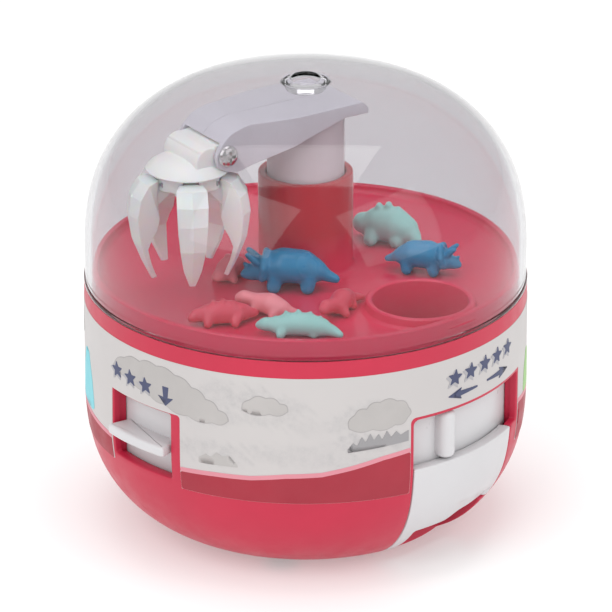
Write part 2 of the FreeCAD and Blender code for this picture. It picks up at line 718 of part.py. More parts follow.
def gear(name, teeth, bore, x, y, turn):
    """A spur gear with a tooth at its own +X, turned by turn about its own axis."""
    pitch = as_size(teeth) * tooth_module / 2
    root_reach = pitch - tooth_module * 1.25
    one = tooth(name + "_tooth", root_reach - 0.3, pitch + tooth_module * 0.9)
    solids = [cylinder(name + "_core", root_reach, gear_low, gear_low + gear_wide)]
    for number in range(teeth):
        solids.append(copy_at("%s_tooth_%d" % (name, number), one, 0, 0, 0, 360.0 * number / teeth))
    hole = cylinder(name + "_bore", bore, gear_low - 1, gear_low + gear_wide + 1)
    wheel = cut(name + "_wheel", fuse(name + "_solid", solids), [hole])
    return node(name, copy_at(name, wheel, x, y, 0, turn))


idler_bore = pin_radius + run_gap
gear("idler_outer", idler_teeth, idler_bore, outer_x, outer_y, idler_bearing_turn)
gear("idler_inner", idler_teeth, idler_bore, inner_x, inner_y, idler_bearing_turn + 180.0 / idler_teeth)
gear("column_gear", column_teeth, column_radius + 0.01, 0, 0, idler_bearing_turn)


def idler_pins():
    pins = []
    for name, x, y in (("inner", inner_x, inner_y), ("outer", outer_x, outer_y)):
        top = gear_low + gear_wide + slip_gap
        shank = cylinder("pin_shank_" + name, pin_radius, deck_low, top, x, y)
        head = cylinder("pin_head_" + name, pin_radius + 1.1, top, top + 1, x, y)
        pins.append(fuse("idler_pin_" + name, [shank, head]))
    return group("idler_pins", pins)


node("idler_pins", idler_pins())


def move_slider():
    """The slide band with its thumb rib in the window and its rack teeth round the right side."""
    band = sector("slide_band", slide_inner, slide_outer, slide_low, slide_high, -1.5, 168)
    step = 360.0 / rack_teeth_round
    one = tooth("rack_tooth", slide_inner + 0.2, rack_pitch - tooth_module * 0.9)
    solids = [band]
    for number in range(rack_teeth):
        turn = train_bearing - 90 + (number - 11.5) * step
        solids.append(copy_at("rack_tooth_%d" % number, one, 0, 0, 0, turn))
    rib_half = knob_width / 2
    rib_centre = slide_outer + knob_proud - rib_half
    rib_x, rib_y = at_bearing(rib_centre, knob_bearing)
    rib_low = move_low + 0.5
    rib_high = move_high - 0.4
    solids.append(cylinder("rib_round", rib_half, rib_low, rib_high, rib_x, rib_y))
    solids.append(box("rib_root", slide_inner + 0.5, rib_centre, -rib_half, rib_half, rib_low, rib_high,
                      knob_bearing - 90))
    return fuse("move_slider", solids)


node("move_slider", move_slider())


# ---------------------------------------------------------------- lever, spring and rocker

def rounded(name, base, radius, chosen):
    """Round the edges for which chosen(edge) is true."""
    doc.recompute()
    thing = doc.addObject("Part::Fillet", name)
    thing.Base = base
    thing.Edges = [(index + 1, radius, radius) for index, edge in enumerate(base.Shape.Edges) if chosen(edge)]
    return thing


def far_out(radius):
    """Chooser for the edges whose middle lies at least radius away from the vertical axis."""
    def chosen(edge):
        middle = edge.valueAt((edge.FirstParameter + edge.LastParameter) / 2)
        return math.hypot(middle.x, middle.y) > radius
    return chosen


lever_margin = as_size(2.2)
lever_plate = sector("lever_plate", lever_inner, lever_outer, grab_low - 0.6, grab_high + lever_travel + 1.8,
                     grab_left - lever_margin, grab_right + lever_margin)
lever_tab = sector("lever_tab", lever_inner + 0.5, tab_reach, tab_low, tab_low + tab_wall,
                   grab_left + 0.4, grab_right - 0.4)
lever_tab_round = rounded("lever_tab_round", lever_tab, 1.2, far_out(62.0))
lever_foot = sector("lever_foot", rocker_long - 1.5, lever_inner + 0.5, foot_low, foot_low + foot_wall,
                    rocker_bearing - 6.5, spring_bearing + 5)
node("grab_lever", fuse("grab_lever", [lever_plate, lever_tab_round, lever_foot]))


def grab_spring():
    """A compression spring, swept along its helix between its seat and the lever's foot."""
    rise = foot_low.value - spring_foot.value - 2 * spring_wire.value
    helix = Part.makeHelix(rise / 6, rise, spring_coil.value)
    wire_circle = Part.makeCircle(spring_wire.value, Vector(spring_coil.value, 0, 0), Vector(0, 1, 0))
    coil = Part.Wire(helix.Edges).makePipeShell([Part.Wire([wire_circle])], True, True)
    thing = doc.addObject("Part::Feature", "grab_spring")
    thing.Shape = coil
    return place(thing, spring_x, spring_y, spring_foot + spring_wire)


node("grab_spring", grab_spring())

rocker_x, rocker_y = at_bearing(rocker_pivot, rocker_bearing)
rocker_turn = rocker_bearing - 90
rocker_bar = box("rocker_bar", -2.2, rocker_long + 1.5, rocker_wide / -2, rocker_wide / 2,
                 rocker_middle - rocker_thick / 2, rocker_middle + rocker_thick / 2, rocker_turn)
rocker_hole = rod("rocker_bore", pin_radius + run_gap, 12, rocker_x, rocker_y, rocker_middle, rocker_bearing)
rocker_boss = rod("rocker_boss", pin_radius + 1.5, rocker_wide, rocker_x, rocker_y, rocker_middle, rocker_bearing)
node("rocker_arm", cut("rocker_arm", fuse("rocker_solid", [rocker_bar, rocker_boss]), [rocker_hole]))
rocker_pin_length = rocker_wide + 2 * seat_gap + 4
node("rocker_pin", rod("rocker_pin", pin_radius, rocker_pin_length, rocker_x, rocker_y, rocker_middle, rocker_bearing))


# ---------------------------------------------------------------- column and push rod

stub_low = deck_low - 2.4
clip_low = deck_low - seat_gap - 1.2
column_high = seam + column_top
arm_turn = arm_bearing - 90
pivot_z = seam + pivot_rise
pusher_bore = pusher_radius + run_gap
cavity_floor = gear_low + gear_wide + 1.5
column_body = turned("column_body", [
    (pusher_bore, stub_low),
    (stub_radius, stub_low),
    (stub_radius, clip_low - 0.05),
    (stub_radius - 0.8, clip_low - 0.05),
    (stub_radius - 0.8, clip_low + 1.25),
    (stub_radius, clip_low + 1.25),
    (stub_radius, deck_top + seat_gap),
    (column_radius, deck_top + seat_gap),
    (column_radius, column_high),
    (column_bore, column_high),
    (column_bore, cavity_floor),
    (pusher_bore, cavity_floor),
])
groove_half = pivot_radius + run_gap
groove_reach = column_bore + 0.8
column_grooves = [
    rod("pivot_groove", groove_half, 2 * groove_reach, 0, 0, pivot_z, arm_bearing),
    box("pivot_slot", -groove_half, groove_half, -groove_reach, groove_reach, pivot_z, column_high + 1, arm_turn),
]
node("column", cut("column", column_body, column_grooves))
node("column_clip", ring("column_clip", stub_radius - 0.75, stub_radius + 1.9, clip_low, clip_low + 1.2))

pusher_foot = rocker_middle + rocker_thick / 2 + seat_gap
peg_radius = as_size(1.3)
tab_top = pivot_z - peg_radius - seat_gap
bar_low = pivot_z - 7.5
pusher_parts = [
    cylinder("pusher_rod", pusher_radius, pusher_foot, bar_low + 0.5),
    box("pusher_bar", -crank_reach - 1.6, 2.0, -2.4, 2.4, bar_low, bar_low + 1.6, arm_turn),
    box("pusher_tab", -crank_reach - 1.6, -crank_reach + 1.6, -2.4, 2.4, bar_low, tab_top, arm_turn),
]
node("push_rod", fuse("push_rod", pusher_parts))


# ---------------------------------------------------------------- arm

arm_side = side_plate("arm_side", [
    (-12.5, 49.5), (-12.5, 51.0), (-10.0, arm_top), (26.5, arm_top), (31.0, 51.9), (33.6, 50.0),
    (35.6, 47.2), (35.4, 43.4), (32.6, 42.2), (29.2, 42.3), (-3.5, 51.1),
], 30)
arm_plan = slab("arm_plan", [
    (-14, -arm_half), (12, -arm_half), (25, -hand_half), (37, -hand_half),
    (37, hand_half), (25, hand_half), (12, arm_half), (-14, arm_half),
], 38, 58)
room_side = side_plate("room_side", [
    (-11.1, 38), (-11.1, 50.4), (-9.4, arm_top - arm_wall), (26.1, arm_top - arm_wall),
    (30.8, 50.7), (32.9, 49.6), (45, 49.6), (45, 38),
], 40)
room_half = arm_half - arm_wall
room_hand_half = hand_half - arm_wall
room_plan = slab("room_plan", [
    (-15, -room_half), (12, -room_half), (25, -room_hand_half), (46, -room_hand_half),
    (46, room_hand_half), (25, room_hand_half), (12, room_half), (-15, room_half),
], 36, 60)
arm_block = common("arm_block", [arm_side, arm_plan])


def top_edge(edge):
    """Chooser for the long upper edges at the arm's two sides."""
    middle = edge.valueAt((edge.FirstParameter + edge.LastParameter) / 2)
    ends = [vertex.Z for vertex in edge.Vertexes]
    return min(ends) > arm_top.value - 0.1 and abs(middle.y) > 9


arm_soft = rounded("arm_soft", arm_block, 1.8, top_edge)
arm_hull = cut("arm_hull", arm_soft, [common("arm_room", [room_side, room_plan])])
ear_plate = side_plate("ear_plate", [
    (-7.9, 46.0), (-7.9, arm_top - 1), (3.0, arm_top - 1), (3.0, 46.4), (1.6, 44.9), (-1.6, 44.9), (-3.0, 46.0),
], 8.8)
ear_slot = box("ear_slot", -20, 20, -3.0, 3.0, 40, arm_top - arm_wall)
ears = cut("ears", ear_plate, [ear_slot])
peg = rod("crank_peg", peg_radius, 8.0, -crank_reach, 0, pivot_rise, 90)
screw_x = as_size(15)
screw_z = as_size(49.3)


def across(name, radius, low, high, x, z):
    """A cylinder along the arm's width, from low to high."""
    upright = cylinder(name + "_up", radius, low, high)
    return copy_at(name, upright, x, 0, z, -90, (1, 0, 0))


arm_boss = across("arm_boss", 2.2, -11.2, 10.9, screw_x, screw_z)
arm_seat = across("arm_seat", 3.1, -11.4, -8.6, screw_x, screw_z)
arm_full = fuse("arm_full", [arm_hull, ears, peg, arm_boss, arm_seat])
arm_holes = [
    across("arm_pivot_hole", pivot_radius, -6, 6, 0, pivot_rise),
    across("wrist_hole", 1.5, -14, 14, wrist_reach, wrist_rise),
    across("arm_screw_hole", 1.1, -14, 8, screw_x, screw_z),
    across("arm_screw_sink", 2.7, -14, -10.5, screw_x, screw_z),
]
arm_drilled = cut("arm_drilled", arm_full, arm_holes)
seam_half = as_size(0.05)
near_half = box("near_half", -30, 60, seam_half, 30, 30, 70)
far_half = box("far_half", -30, 60, -30, -seam_half, 30, 70)
for shell_name, half in (("arm_near_shell", near_half), ("arm_far_shell", far_half)):
    shell = common(shell_name + "_half", [arm_drilled, half])
    node(shell_name, copy_at(shell_name, shell, 0, 0, seam, arm_turn))

pivot_pin = across("pivot_pin_bar", pivot_radius, -column_bore - 0.6, column_bore + 0.6, 0, pivot_rise)
node("arm_pivot_pin", copy_at("arm_pivot_pin", pivot_pin, 0, 0, seam, arm_turn))
arm_screw = copy_at("arm_screw_in", screw("arm_screw_up", 2.4, 1.5, 1.1, 16.0, 0.7), screw_x, -10.5, screw_z, 90, (1, 0, 0))
node("arm_screw", copy_at("arm_screw", arm_screw, 0, 0, seam, arm_turn))
wrist_screw = copy_at("wrist_screw_in", screw("wrist_screw_up", 3.0, 1.6, 1.5, 19.4, 0.8),
                      wrist_reach, hand_half, wrist_rise, -90, (1, 0, 0))
node("wrist_screw", copy_at("wrist_screw", wrist_screw, 0, 0, seam, arm_turn))


# ---------------------------------------------------------------- claw

claw_x, claw_y = at_bearing(claw_reach, arm_bearing)
finger_step = 360.0 / finger_count
cap_radius = as_size(9.8)
cap_low = finger_pivot_rise - 2.0
cap_high = finger_pivot_rise + 3.1
hub_half = room_hand_half - 0.35
slot_half = as_size(2.2)
tail_half = as_size(2.0)
pin_thin = as_size(0.8)


def finger_pin_rod(name, radius, half, bearing):
    """A cylinder across one finger, at the finger's pivot."""
    bar = across(name + "_across", radius, -half, half, finger_pivot_reach, finger_pivot_rise)
    return copy_at(name, bar, claw_x, claw_y, seam, bearing - 90)


def claw_hub():
    barrel = across("hub_barrel", 4.3, -hub_half, hub_half, 37.0, 44.0)
    lug = across("hub_lug", 3.0, -hub_half, hub_half, wrist_reach, wrist_rise)
    wrist_bore = across("hub_wrist_bore", as_size(1.5) + run_gap, -12, 12, wrist_reach, wrist_rise)
    barrel_part = copy_at("hub_top", fuse("hub_top_solid", [barrel, lug]), 0, 0, seam, arm_turn)
    wrist_part = copy_at("hub_bore", wrist_bore, 0, 0, seam, arm_turn)
    cap = cylinder("hub_cap", cap_radius, seam + cap_low, seam + cap_high, claw_x, claw_y)
    brow = cone("hub_brow", cap_radius, 6.0, seam + cap_high, seam + cap_high + 2, claw_x, claw_y)
    holes = [
        wrist_part,
        cylinder("plunger_bore", 1.2 + run_gap, seam + cap_low - 1, seam + cap_high + 3.2, claw_x, claw_y),
        cylinder("plunger_room", 5.8, seam + cap_low - 8, seam + cap_low + 2.4, claw_x, claw_y),
    ]
    for number in range(finger_count):
        bearing = finger_start + finger_step * number
        slot = box("finger_slot_%d_flat" % number, 4.2, 20, -slot_half, slot_half, cap_low - 1, cap_high - 0.6)
        holes.append(copy_at("finger_slot_%d" % number, slot, claw_x, claw_y, seam, bearing - 90))
        holes.append(finger_pin_rod("finger_pin_hole_%d" % number, pin_thin, 3.4, bearing))
    return cut("claw_hub", fuse("hub_solid", [barrel_part, cap, brow]), holes)


node("claw_hub", claw_hub())


def claw_finger(number):
    """A jointed-looking finger: a narrow tail in the hub and a three-facet blade that tapers to its tip."""
    name = "claw_finger_%d" % (number + 1)
    bearing = finger_start + finger_step * number
    knuckle = finger_pivot_rise - 6.7
    kink = finger_pivot_rise - 15.3
    blade_side = side_plate(name + "_blade", [
        (10.6, 39.3), (13.6, 38.8), (16.9, knuckle), (15.9, kink), (finger_tip_reach + 0.8, finger_tip_rise),
        (finger_tip_reach - 0.7, finger_tip_rise), (13.4, kink + 0.6), (14.4, knuckle - 0.3), (11.9, 36.3), (10.6, 36.5),
    ], 12)
    half = finger_width / 2
    body, sketch = sketched(name + "_front", "YZ_Plane", [
        (-half + 0.5, 40), (-half, knuckle + 3), (-half + 0.2, kink + 4), (-1.0, finger_tip_rise),
        (1.0, finger_tip_rise), (half - 0.2, kink + 4), (half, knuckle + 3), (half - 0.5, 40),
    ])
    pad = body.newObject("PartDesign::Pad", name + "_front_pad")
    pad.Profile = sketch
    bind(pad, "Length", 30)
    blade = common(name + "_shape", [blade_side, body])
    tail = side_plate(name + "_tail", [
        (4.7, 37.1), (5.6, 37.0), (5.6, 35.0), (9.5, 30.5), (13.0, 27.5), (14.6, 31.2), (12.0, 39.0),
        (7.0, 39.2), (4.7, 38.7),
    ], 2 * tail_half)
    bore = across(name + "_bore", pin_thin + run_gap, -5, 5, finger_pivot_reach, finger_pivot_rise)
    whole = cut(name + "_whole", fuse(name + "_joined", [blade, tail]), [bore])
    return node(name, copy_at(name, whole, claw_x, claw_y, seam, bearing - 90))


for finger_number in range(finger_count):
    claw_finger(finger_number)

finger_pins = []
for finger_number in range(finger_count):
    finger_bearing = finger_start + finger_step * finger_number
    finger_pins.append(finger_pin_rod("finger_pin_%d" % finger_number, pin_thin, as_size(3.35), finger_bearing))
node("finger_pins", group("finger_pins", finger_pins))

plunger_disc = cylinder("plunger_disc", 5.0, seam + cap_low + 0.1, seam + cap_low + 0.9, claw_x, claw_y)
plunger_rod = cylinder("plunger_rod", 1.2, seam + cap_low + 0.1, seam + cap_high + 1.8, claw_x, claw_y)
node("claw_plunger", fuse("claw_plunger", [plunger_disc, plunger_rod]))


# ---------------------------------------------------------------- screws

def screws_down(name, bearings, reach, height, head_radius, head_height, shank_radius, shank_length, flip):
    pieces = []
    for number, bearing in enumerate(bearings):
        x, y = at_bearing(reach, as_size(bearing))
        one = screw("%s_%d_shape" % (name, number), head_radius, head_height, shank_radius, shank_length, 0.8)
        pieces.append(copy_at("%s_%d" % (name, number), one, x, y, height, 180 if flip else 0, (1, 0, 0)))
    return node(name, group(name, pieces))


screws_down("case_screws", case_post_bearings, post_reach, well_depth, 2.8, 1.8, 1.2, 12.0, True)
screws_down("deck_screws", deck_post_bearings, deck_post_reach, deck_top, 2.6, 1.6, 1.2, 9.0, False)


# ---------------------------------------------------------------- prizes

def prize(name, x, y, heading, long_size, wide_size, high_size):
    """A small moulded four-legged animal that stands on the tray, its head towards its heading."""
    long_size = as_size(long_size)
    high_size = as_size(high_size)
    trunk_radius = high_size * 0.32
    trunk_z = high_size - trunk_radius
    outline = [(0, long_size * -0.5)]
    for thick, along in ((0.12, -0.5), (0.26, -0.42), (0.27, -0.32), (0.2, -0.24), (0.32, -0.16),
                         (0.32, 0.14), (0.14, 0.28), (0.08, 0.5)):
        outline.append((high_size * thick, long_size * along))
    outline.append((0, long_size * 0.5))
    parts = [copy_at(name + "_trunk", turned(name + "_profile", outline), 0, 0, trunk_z, -90, (0, 1, 0))]
    for leg_x in (-0.12, 0.13):
        for leg_y in (-0.24, 0.24):
            leg_name = "%s_leg_%d_%d" % (name, leg_x * 100, leg_y * 100)
            parts.append(cylinder(leg_name, wide_size * 0.16, 0, trunk_z - 0.2, long_size * leg_x, wide_size * leg_y))
    return node(name, copy_at(name, fuse(name + "_solid", parts), x, y, tray_top, heading))


prize("prize_blue_standing", -4.6, -18.6, 176, 27, 8.0, 13.0)
prize("prize_blue_right", 33.0, -6.5, -14, 22, 8.5, 11.0)
prize("prize_mint_back", 23.4, 17.5, 168, 19, 8.5, 11.5)
prize("prize_mint_front", -2.0, -50.0, 184, 23, 8.0, 6.8)
prize("prize_pink_light", -10.5, -36.0, 150, 18, 7.4, 6.8)
prize("prize_rose_left", -22.5, -42.5, 182, 19, 7.4, 6.8)
prize("prize_rose_middle", 9.6, -34.5, 250, 19, 7.2, 6.8)
prize("prize_pink_back", -21.5, -10.2, 250, 14, 7.0, 6.8)


# ---------------------------------------------------------------- check and write

doc.recompute()
for thing in doc.Objects:
    if "Invalid" in thing.State or "Error" in thing.State:
        raise RuntimeError("failed: %s %s" % (thing.Name, thing.State))
for node_name, thing in nodes.items():
    shape = thing.Shape
    if shape.isNull() or not shape.isValid() or not shape.Solids:
        raise RuntimeError("bad shape: " + node_name)
    shape.exportStep("parts/%s.step" % node_name)
    print("%-22s %d solid(s) %10.1f mm3" % (node_name, len(shape.Solids), shape.Volume))
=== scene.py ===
"""Table-top claw crane toy as it looks: a clear dome over a play tray, a swinging claw and a moulded base."""
import bpy
import bmesh
import math
import numpy as np
from mathutils import Matrix, Vector
from mathutils.geometry import delaunay_2d_cdt


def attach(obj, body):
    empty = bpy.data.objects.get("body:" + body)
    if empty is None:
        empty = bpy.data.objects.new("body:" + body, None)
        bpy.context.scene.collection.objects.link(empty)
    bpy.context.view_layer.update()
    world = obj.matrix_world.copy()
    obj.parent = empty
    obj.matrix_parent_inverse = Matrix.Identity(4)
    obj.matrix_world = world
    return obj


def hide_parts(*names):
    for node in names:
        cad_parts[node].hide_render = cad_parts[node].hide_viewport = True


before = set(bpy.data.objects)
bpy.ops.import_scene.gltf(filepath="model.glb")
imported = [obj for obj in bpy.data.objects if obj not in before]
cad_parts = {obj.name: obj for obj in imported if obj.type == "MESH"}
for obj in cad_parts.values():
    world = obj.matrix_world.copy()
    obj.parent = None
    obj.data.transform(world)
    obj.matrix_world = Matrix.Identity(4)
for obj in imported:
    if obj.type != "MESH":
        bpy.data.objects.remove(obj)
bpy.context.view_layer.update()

MM = 0.001
SEAM = 71.5
CASE_RADIUS = 62.5
PER_DEGREE = math.radians(1) * 60
ARM_BEARING = -56
CLAW_REACH = 38.8
ARM_TURN = ARM_BEARING - 90


# ---------------------------------------------------------------- finishes

def tone(red, green, blue):
    """Linear colour from everyday 0-255 values."""
    linear = []
    for value in (red, green, blue):
        part = value / 255
        linear.append(part / 12.92 if part <= 0.04045 else ((part + 0.055) / 1.055) ** 2.4)
    return (*linear, 1.0)


class Finish:
    """A material being wired: a Principled surface and short ways to add nodes to it."""

    def __init__(self, name, colour, rough, **sockets):
        self.material = bpy.data.materials.new(name)
        self.material.use_nodes = True
        self.tree = self.material.node_tree
        self.surface = self.tree.nodes["Principled BSDF"]
        self.surface.inputs["Base Color"].default_value = colour
        self.surface.inputs["Roughness"].default_value = rough
        for socket, value in sockets.items():
            self.surface.inputs[socket.replace("_", " ")].default_value = value
        self.place = self.node("ShaderNodeTexCoord").outputs["Object"]

    def node(self, kind, **settings):
        made = self.tree.nodes.new(kind)
        for setting, value in settings.items():
            setattr(made, setting, value)
        return made

    def link(self, source, target):
        self.tree.links.new(source, target)

    def noise(self, scale, detail=3.0, rough=0.5):
        grain = self.node("ShaderNodeTexNoise")
        self.link(self.place, grain.inputs["Vector"])
        grain.inputs["Scale"].default_value = scale
        grain.inputs["Detail"].default_value = detail
        grain.inputs["Roughness"].default_value = rough
        return grain.outputs["Fac"]

    def spread(self, source, low, high, to_low, to_high):
        ranged = self.node("ShaderNodeMapRange")
        self.link(source, ranged.inputs["Value"])
        for socket, value in zip(("From Min", "From Max", "To Min", "To Max"), (low, high, to_low, to_high)):
            ranged.inputs[socket].default_value = value
        return ranged.outputs["Result"]

    def blend(self, amount, first, second):
        mix = self.node("ShaderNodeMix", data_type="RGBA")
        self.link(amount, mix.inputs[0])
        for socket, colour in ((6, first), (7, second)):
            if hasattr(colour, "is_output"):
                self.link(colour, mix.inputs[socket])
            else:
                mix.inputs[socket].default_value = colour
        return mix.outputs[2]

    def multiply(self, first, second):
        maths = self.node("ShaderNodeMath", operation="MULTIPLY")
        self.link(first, maths.inputs[0])
        if hasattr(second, "is_output"):
            self.link(second, maths.inputs[1])
        else:
            maths.inputs[1].default_value = second
        return maths.outputs[0]

    def bump(self, source, height):
        raised = self.node("ShaderNodeBump")
        raised.inputs["Strength"].default_value = 1.0
        raised.inputs["Distance"].default_value = height * MM
        self.link(source, raised.inputs["Height"])
        self.link(raised.outputs["Normal"], self.surface.inputs["Normal"])


def moulded(name, colour, rough, shade=0.9, grain=900, depth=0.006, **sockets):
    """Moulded plastic: faint flow marks in its colour, an uneven polish and a fine skin."""
    finish = Finish(name, colour, rough, **sockets)
    darker = (*[part * shade for part in colour[:3]], 1.0)
    flow = finish.spread(finish.noise(35, 4, 0.6), 0.35, 0.7, 0.0, 1.0)
    finish.link(finish.blend(flow, colour, darker), finish.surface.inputs["Base Color"])
    polish = finish.spread(finish.noise(160, 3, 0.6), 0.3, 0.7, rough * 0.85, rough * 1.25)
    finish.link(polish, finish.surface.inputs["Roughness"])
    finish.bump(finish.noise(grain, 2, 0.5), depth)
    return finish.material


def brushed(name, colour, rough):
    """Plated metal with fine turning marks."""
    finish = Finish(name, colour, rough, Metallic=1.0)
    marks = finish.spread(finish.noise(1400, 3, 0.7), 0.3, 0.7, rough * 0.7, rough * 1.4)
    finish.link(marks, finish.surface.inputs["Roughness"])
    finish.bump(finish.noise(700, 2, 0.6), 0.004)
    return finish.material


CASE_PINK = moulded("case_pink", tone(191, 36, 66), 0.36, 0.92, 1500, 0.004, Specular_IOR_Level=0.42)
DUCT_RED = moulded("duct_red", tone(205, 28, 55), 0.3, 0.9)
WHITE_GLOSS = moulded("white_gloss", tone(204, 203, 205), 0.32, 0.965, 900, 0.004)
# The column's white is tinted pink: a painted reflection of the red case and tray around it.
COLUMN_WHITE_PAINTED_REFLECTION = moulded("column_white_painted_reflection", tone(208, 194, 198), 0.4, 0.97)
ARM_WHITE = moulded("arm_white", tone(212, 209, 216), 0.38, 0.97, 900, 0.004)
CLAW_MILK = moulded("claw_milk", tone(247, 246, 242), 0.32, 0.985, 600, 0.004,
                    Subsurface_Weight=0.4, Subsurface_Scale=0.004)
GEAR_WHITE = moulded("gear_white", tone(226, 224, 214), 0.45, 0.94)
INNER_GREY = moulded("inner_grey", tone(172, 172, 176), 0.5, 0.92)
STEEL = brushed("screw_steel", tone(190, 190, 194), 0.3)
CHROME = brushed("wrist_chrome", tone(214, 212, 210), 0.14)
PRIZE_BLUE = moulded("prize_blue", tone(42, 138, 184), 0.24, 0.86, 700, 0.02)
PRIZE_MINT = moulded("prize_mint", tone(158, 214, 206), 0.34, 0.92, 700, 0.02)
PRIZE_PINK = moulded("prize_pink", tone(238, 140, 148), 0.34, 0.9, 700, 0.02)
PRIZE_ROSE = moulded("prize_rose", tone(222, 70, 92), 0.32, 0.86, 700, 0.02)
INK_NAVY = moulded("ink_navy", tone(66, 72, 104), 0.5, 0.9)
INK_SHADOW = moulded("ink_shadow", tone(168, 166, 170), 0.5, 0.95)
INK_GROUND = moulded("ink_ground", tone(160, 30, 50), 0.46, 0.86, 900, 0.004)
INK_ROSE = moulded("ink_rose", tone(212, 136, 148), 0.46, 0.93)
INK_CYAN = moulded("ink_cyan", tone(120, 205, 216), 0.46, 0.93)
INK_GREEN = moulded("ink_green", tone(150, 196, 120), 0.46, 0.93)
INK_ORANGE = moulded("ink_orange", tone(226, 120, 96), 0.46, 0.93)
INK_CLOUD = moulded("ink_cloud", tone(180, 176, 174), 0.46, 0.86, 500)
INK_LINE = moulded("ink_line", tone(162, 158, 158), 0.46, 0.9, 500)
INK_TREE = moulded("ink_tree", tone(150, 148, 150), 0.5, 0.9, 500)


def tray_finish():
    """Tray red: the floor is painted paler and pinker than the collar above it, a painted reflection of the
    dome's haze over the floor.
    """
    finish = Finish("tray_red", tone(205, 20, 55), 0.2, Specular_IOR_Level=0.5)
    split = finish.node("ShaderNodeSeparateXYZ")
    finish.link(finish.place, split.inputs[0])
    # painted reflection: this height mask switches from the floor's lightened tones to the collar's deeper
    # red
    rise = finish.spread(split.outputs["Z"], 0.078, 0.088, 0.0, 1.0)
    flow = finish.spread(finish.noise(30, 3, 0.5), 0.35, 0.7, 0.0, 1.0)
    # floor tones lightened by a painted reflection of the dome's haze; the flow noise between them is the
    # plastic's own uneven tone
    floor = finish.blend(flow, tone(224, 42, 84), tone(218, 36, 76))
    finish.link(finish.blend(rise, floor, tone(188, 2, 34)), finish.surface.inputs["Base Color"])
    polish = finish.spread(finish.noise(160, 3, 0.6), 0.3, 0.7, 0.16, 0.26)
    finish.link(polish, finish.surface.inputs["Roughness"])
    return finish.material


TRAY_RED = tray_finish()


def clear_dome():
    """Clear styrene with a faint lilac cast and hairline handling marks."""
    finish = Finish("dome_clear", tone(218, 217, 220), 0.02, Transmission_Weight=1.0, IOR=1.36)
    haze = finish.spread(finish.noise(60, 4, 0.6), 0.45, 0.75, 0.012, 0.05)
    finish.link(haze, finish.surface.inputs["Roughness"])
    lamp = finish.node("ShaderNodeLightPath").outputs["Is Shadow Ray"]
    through = finish.node("ShaderNodeBsdfTransparent")
    through.inputs["Color"].default_value = (0.93, 0.93, 0.94, 1)
    both = finish.node("ShaderNodeMixShader")
    finish.link(lamp, both.inputs[0])
    finish.link(finish.surface.outputs[0], both.inputs[1])
    finish.link(through.outputs[0], both.inputs[2])
    finish.link(both.outputs[0], finish.tree.nodes["Material Output"].inputs["Surface"])
    return finish.material


def label_print():
    """Satin label: off-white stock, with soft grey sketching where the piece's ink attribute is strong."""
    finish = Finish("label_print", tone(190, 186, 185), 0.42)
    ink = finish.node("ShaderNodeAttribute", attribute_name="ink").outputs["Fac"]
    broad = finish.spread(finish.noise(330, 5, 0.65), 0.36, 0.62, 0.15, 1.0)
    fine = finish.spread(finish.noise(1600, 4, 0.7), 0.35, 0.65, 0.45, 1.0)
    amount = finish.multiply(finish.multiply(broad, fine), ink)
    paper = finish.blend(finish.noise(40, 3, 0.5), tone(194, 190, 188), tone(187, 183, 183))
    finish.link(finish.blend(amount, paper, tone(150, 149, 152)), finish.surface.inputs["Base Color"])
    polish = finish.spread(finish.noise(90, 3, 0.5), 0.3, 0.7, 0.36, 0.48)
    finish.link(polish, finish.surface.inputs["Roughness"])
    return finish.material


DOME_CLEAR = clear_dome()
LABEL_PRINT = label_print()


# ---------------------------------------------------------------- making pieces

def finish_mesh(mesh, material, crease, weld=True):
    """Merge doubles, turn the faces outwards, shade them smooth and keep the real creases sharp."""
    work = bmesh.new()
    work.from_mesh(mesh)
    if weld:
        bmesh.ops.remove_doubles(work, verts=work.verts, dist=2e-6)
        bmesh.ops.dissolve_degenerate(work, dist=1e-6, edges=work.edges)
    bmesh.ops.recalc_face_normals(work, faces=work.faces)
    for face in work.faces:
        face.smooth = True
    for edge in work.edges:
        edge.smooth = len(edge.link_faces) != 2 or edge.calc_face_angle(0) < math.radians(crease)
    work.to_mesh(mesh)
    work.free()
    mesh.materials.clear()
    mesh.materials.append(material)


def piece(name, points, faces, material, body, nodes=(), crease=32, weld=True):
    """A piece from points in millimetres, riding on a body and standing for some CAD nodes."""
    mesh = bpy.data.meshes.new(name)
    mesh.from_pydata([(x * MM, y * MM, z * MM) for x, y, z in points], [], faces)
    finish_mesh(mesh, material, crease, weld)
    thing = bpy.data.objects.new(name, mesh)
    bpy.context.scene.collection.objects.link(thing)
    return settle(thing, body, nodes)


def settle(thing, body, nodes=()):
    if body:
        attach(thing, body)
    if nodes:
        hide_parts(*nodes)
    return thing


def applied(thing):
    """Turn a piece and its modifiers into a plain mesh."""
    bpy.context.view_layer.update()
    made = bpy.data.meshes.new_from_object(thing.evaluated_get(bpy.context.evaluated_depsgraph_get()))
    thing.modifiers.clear()
    thing.data = made
    return thing


def carved_by(thing, cutter, way="DIFFERENCE", crossing=False):
    """The piece cut by another, or kept only inside it; the other piece is then thrown away."""
    cut = thing.modifiers.new("cut", "BOOLEAN")
    cut.operation = way
    cut.solver = "EXACT"
    cut.use_self = crossing
    cut.object = cutter
    applied(thing)
    bpy.data.objects.remove(cutter)
    return thing


def moved(points, turn=0.0, shift=(0, 0, 0)):
    cosine = math.cos(math.radians(turn))
    sine = math.sin(math.radians(turn))
    return [(x * cosine - y * sine + shift[0], x * sine + y * cosine + shift[1], z + shift[2])
            for x, y, z in points]


def at_bearing(radius, bearing):
    return radius * math.sin(math.radians(bearing)), -radius * math.cos(math.radians(bearing))


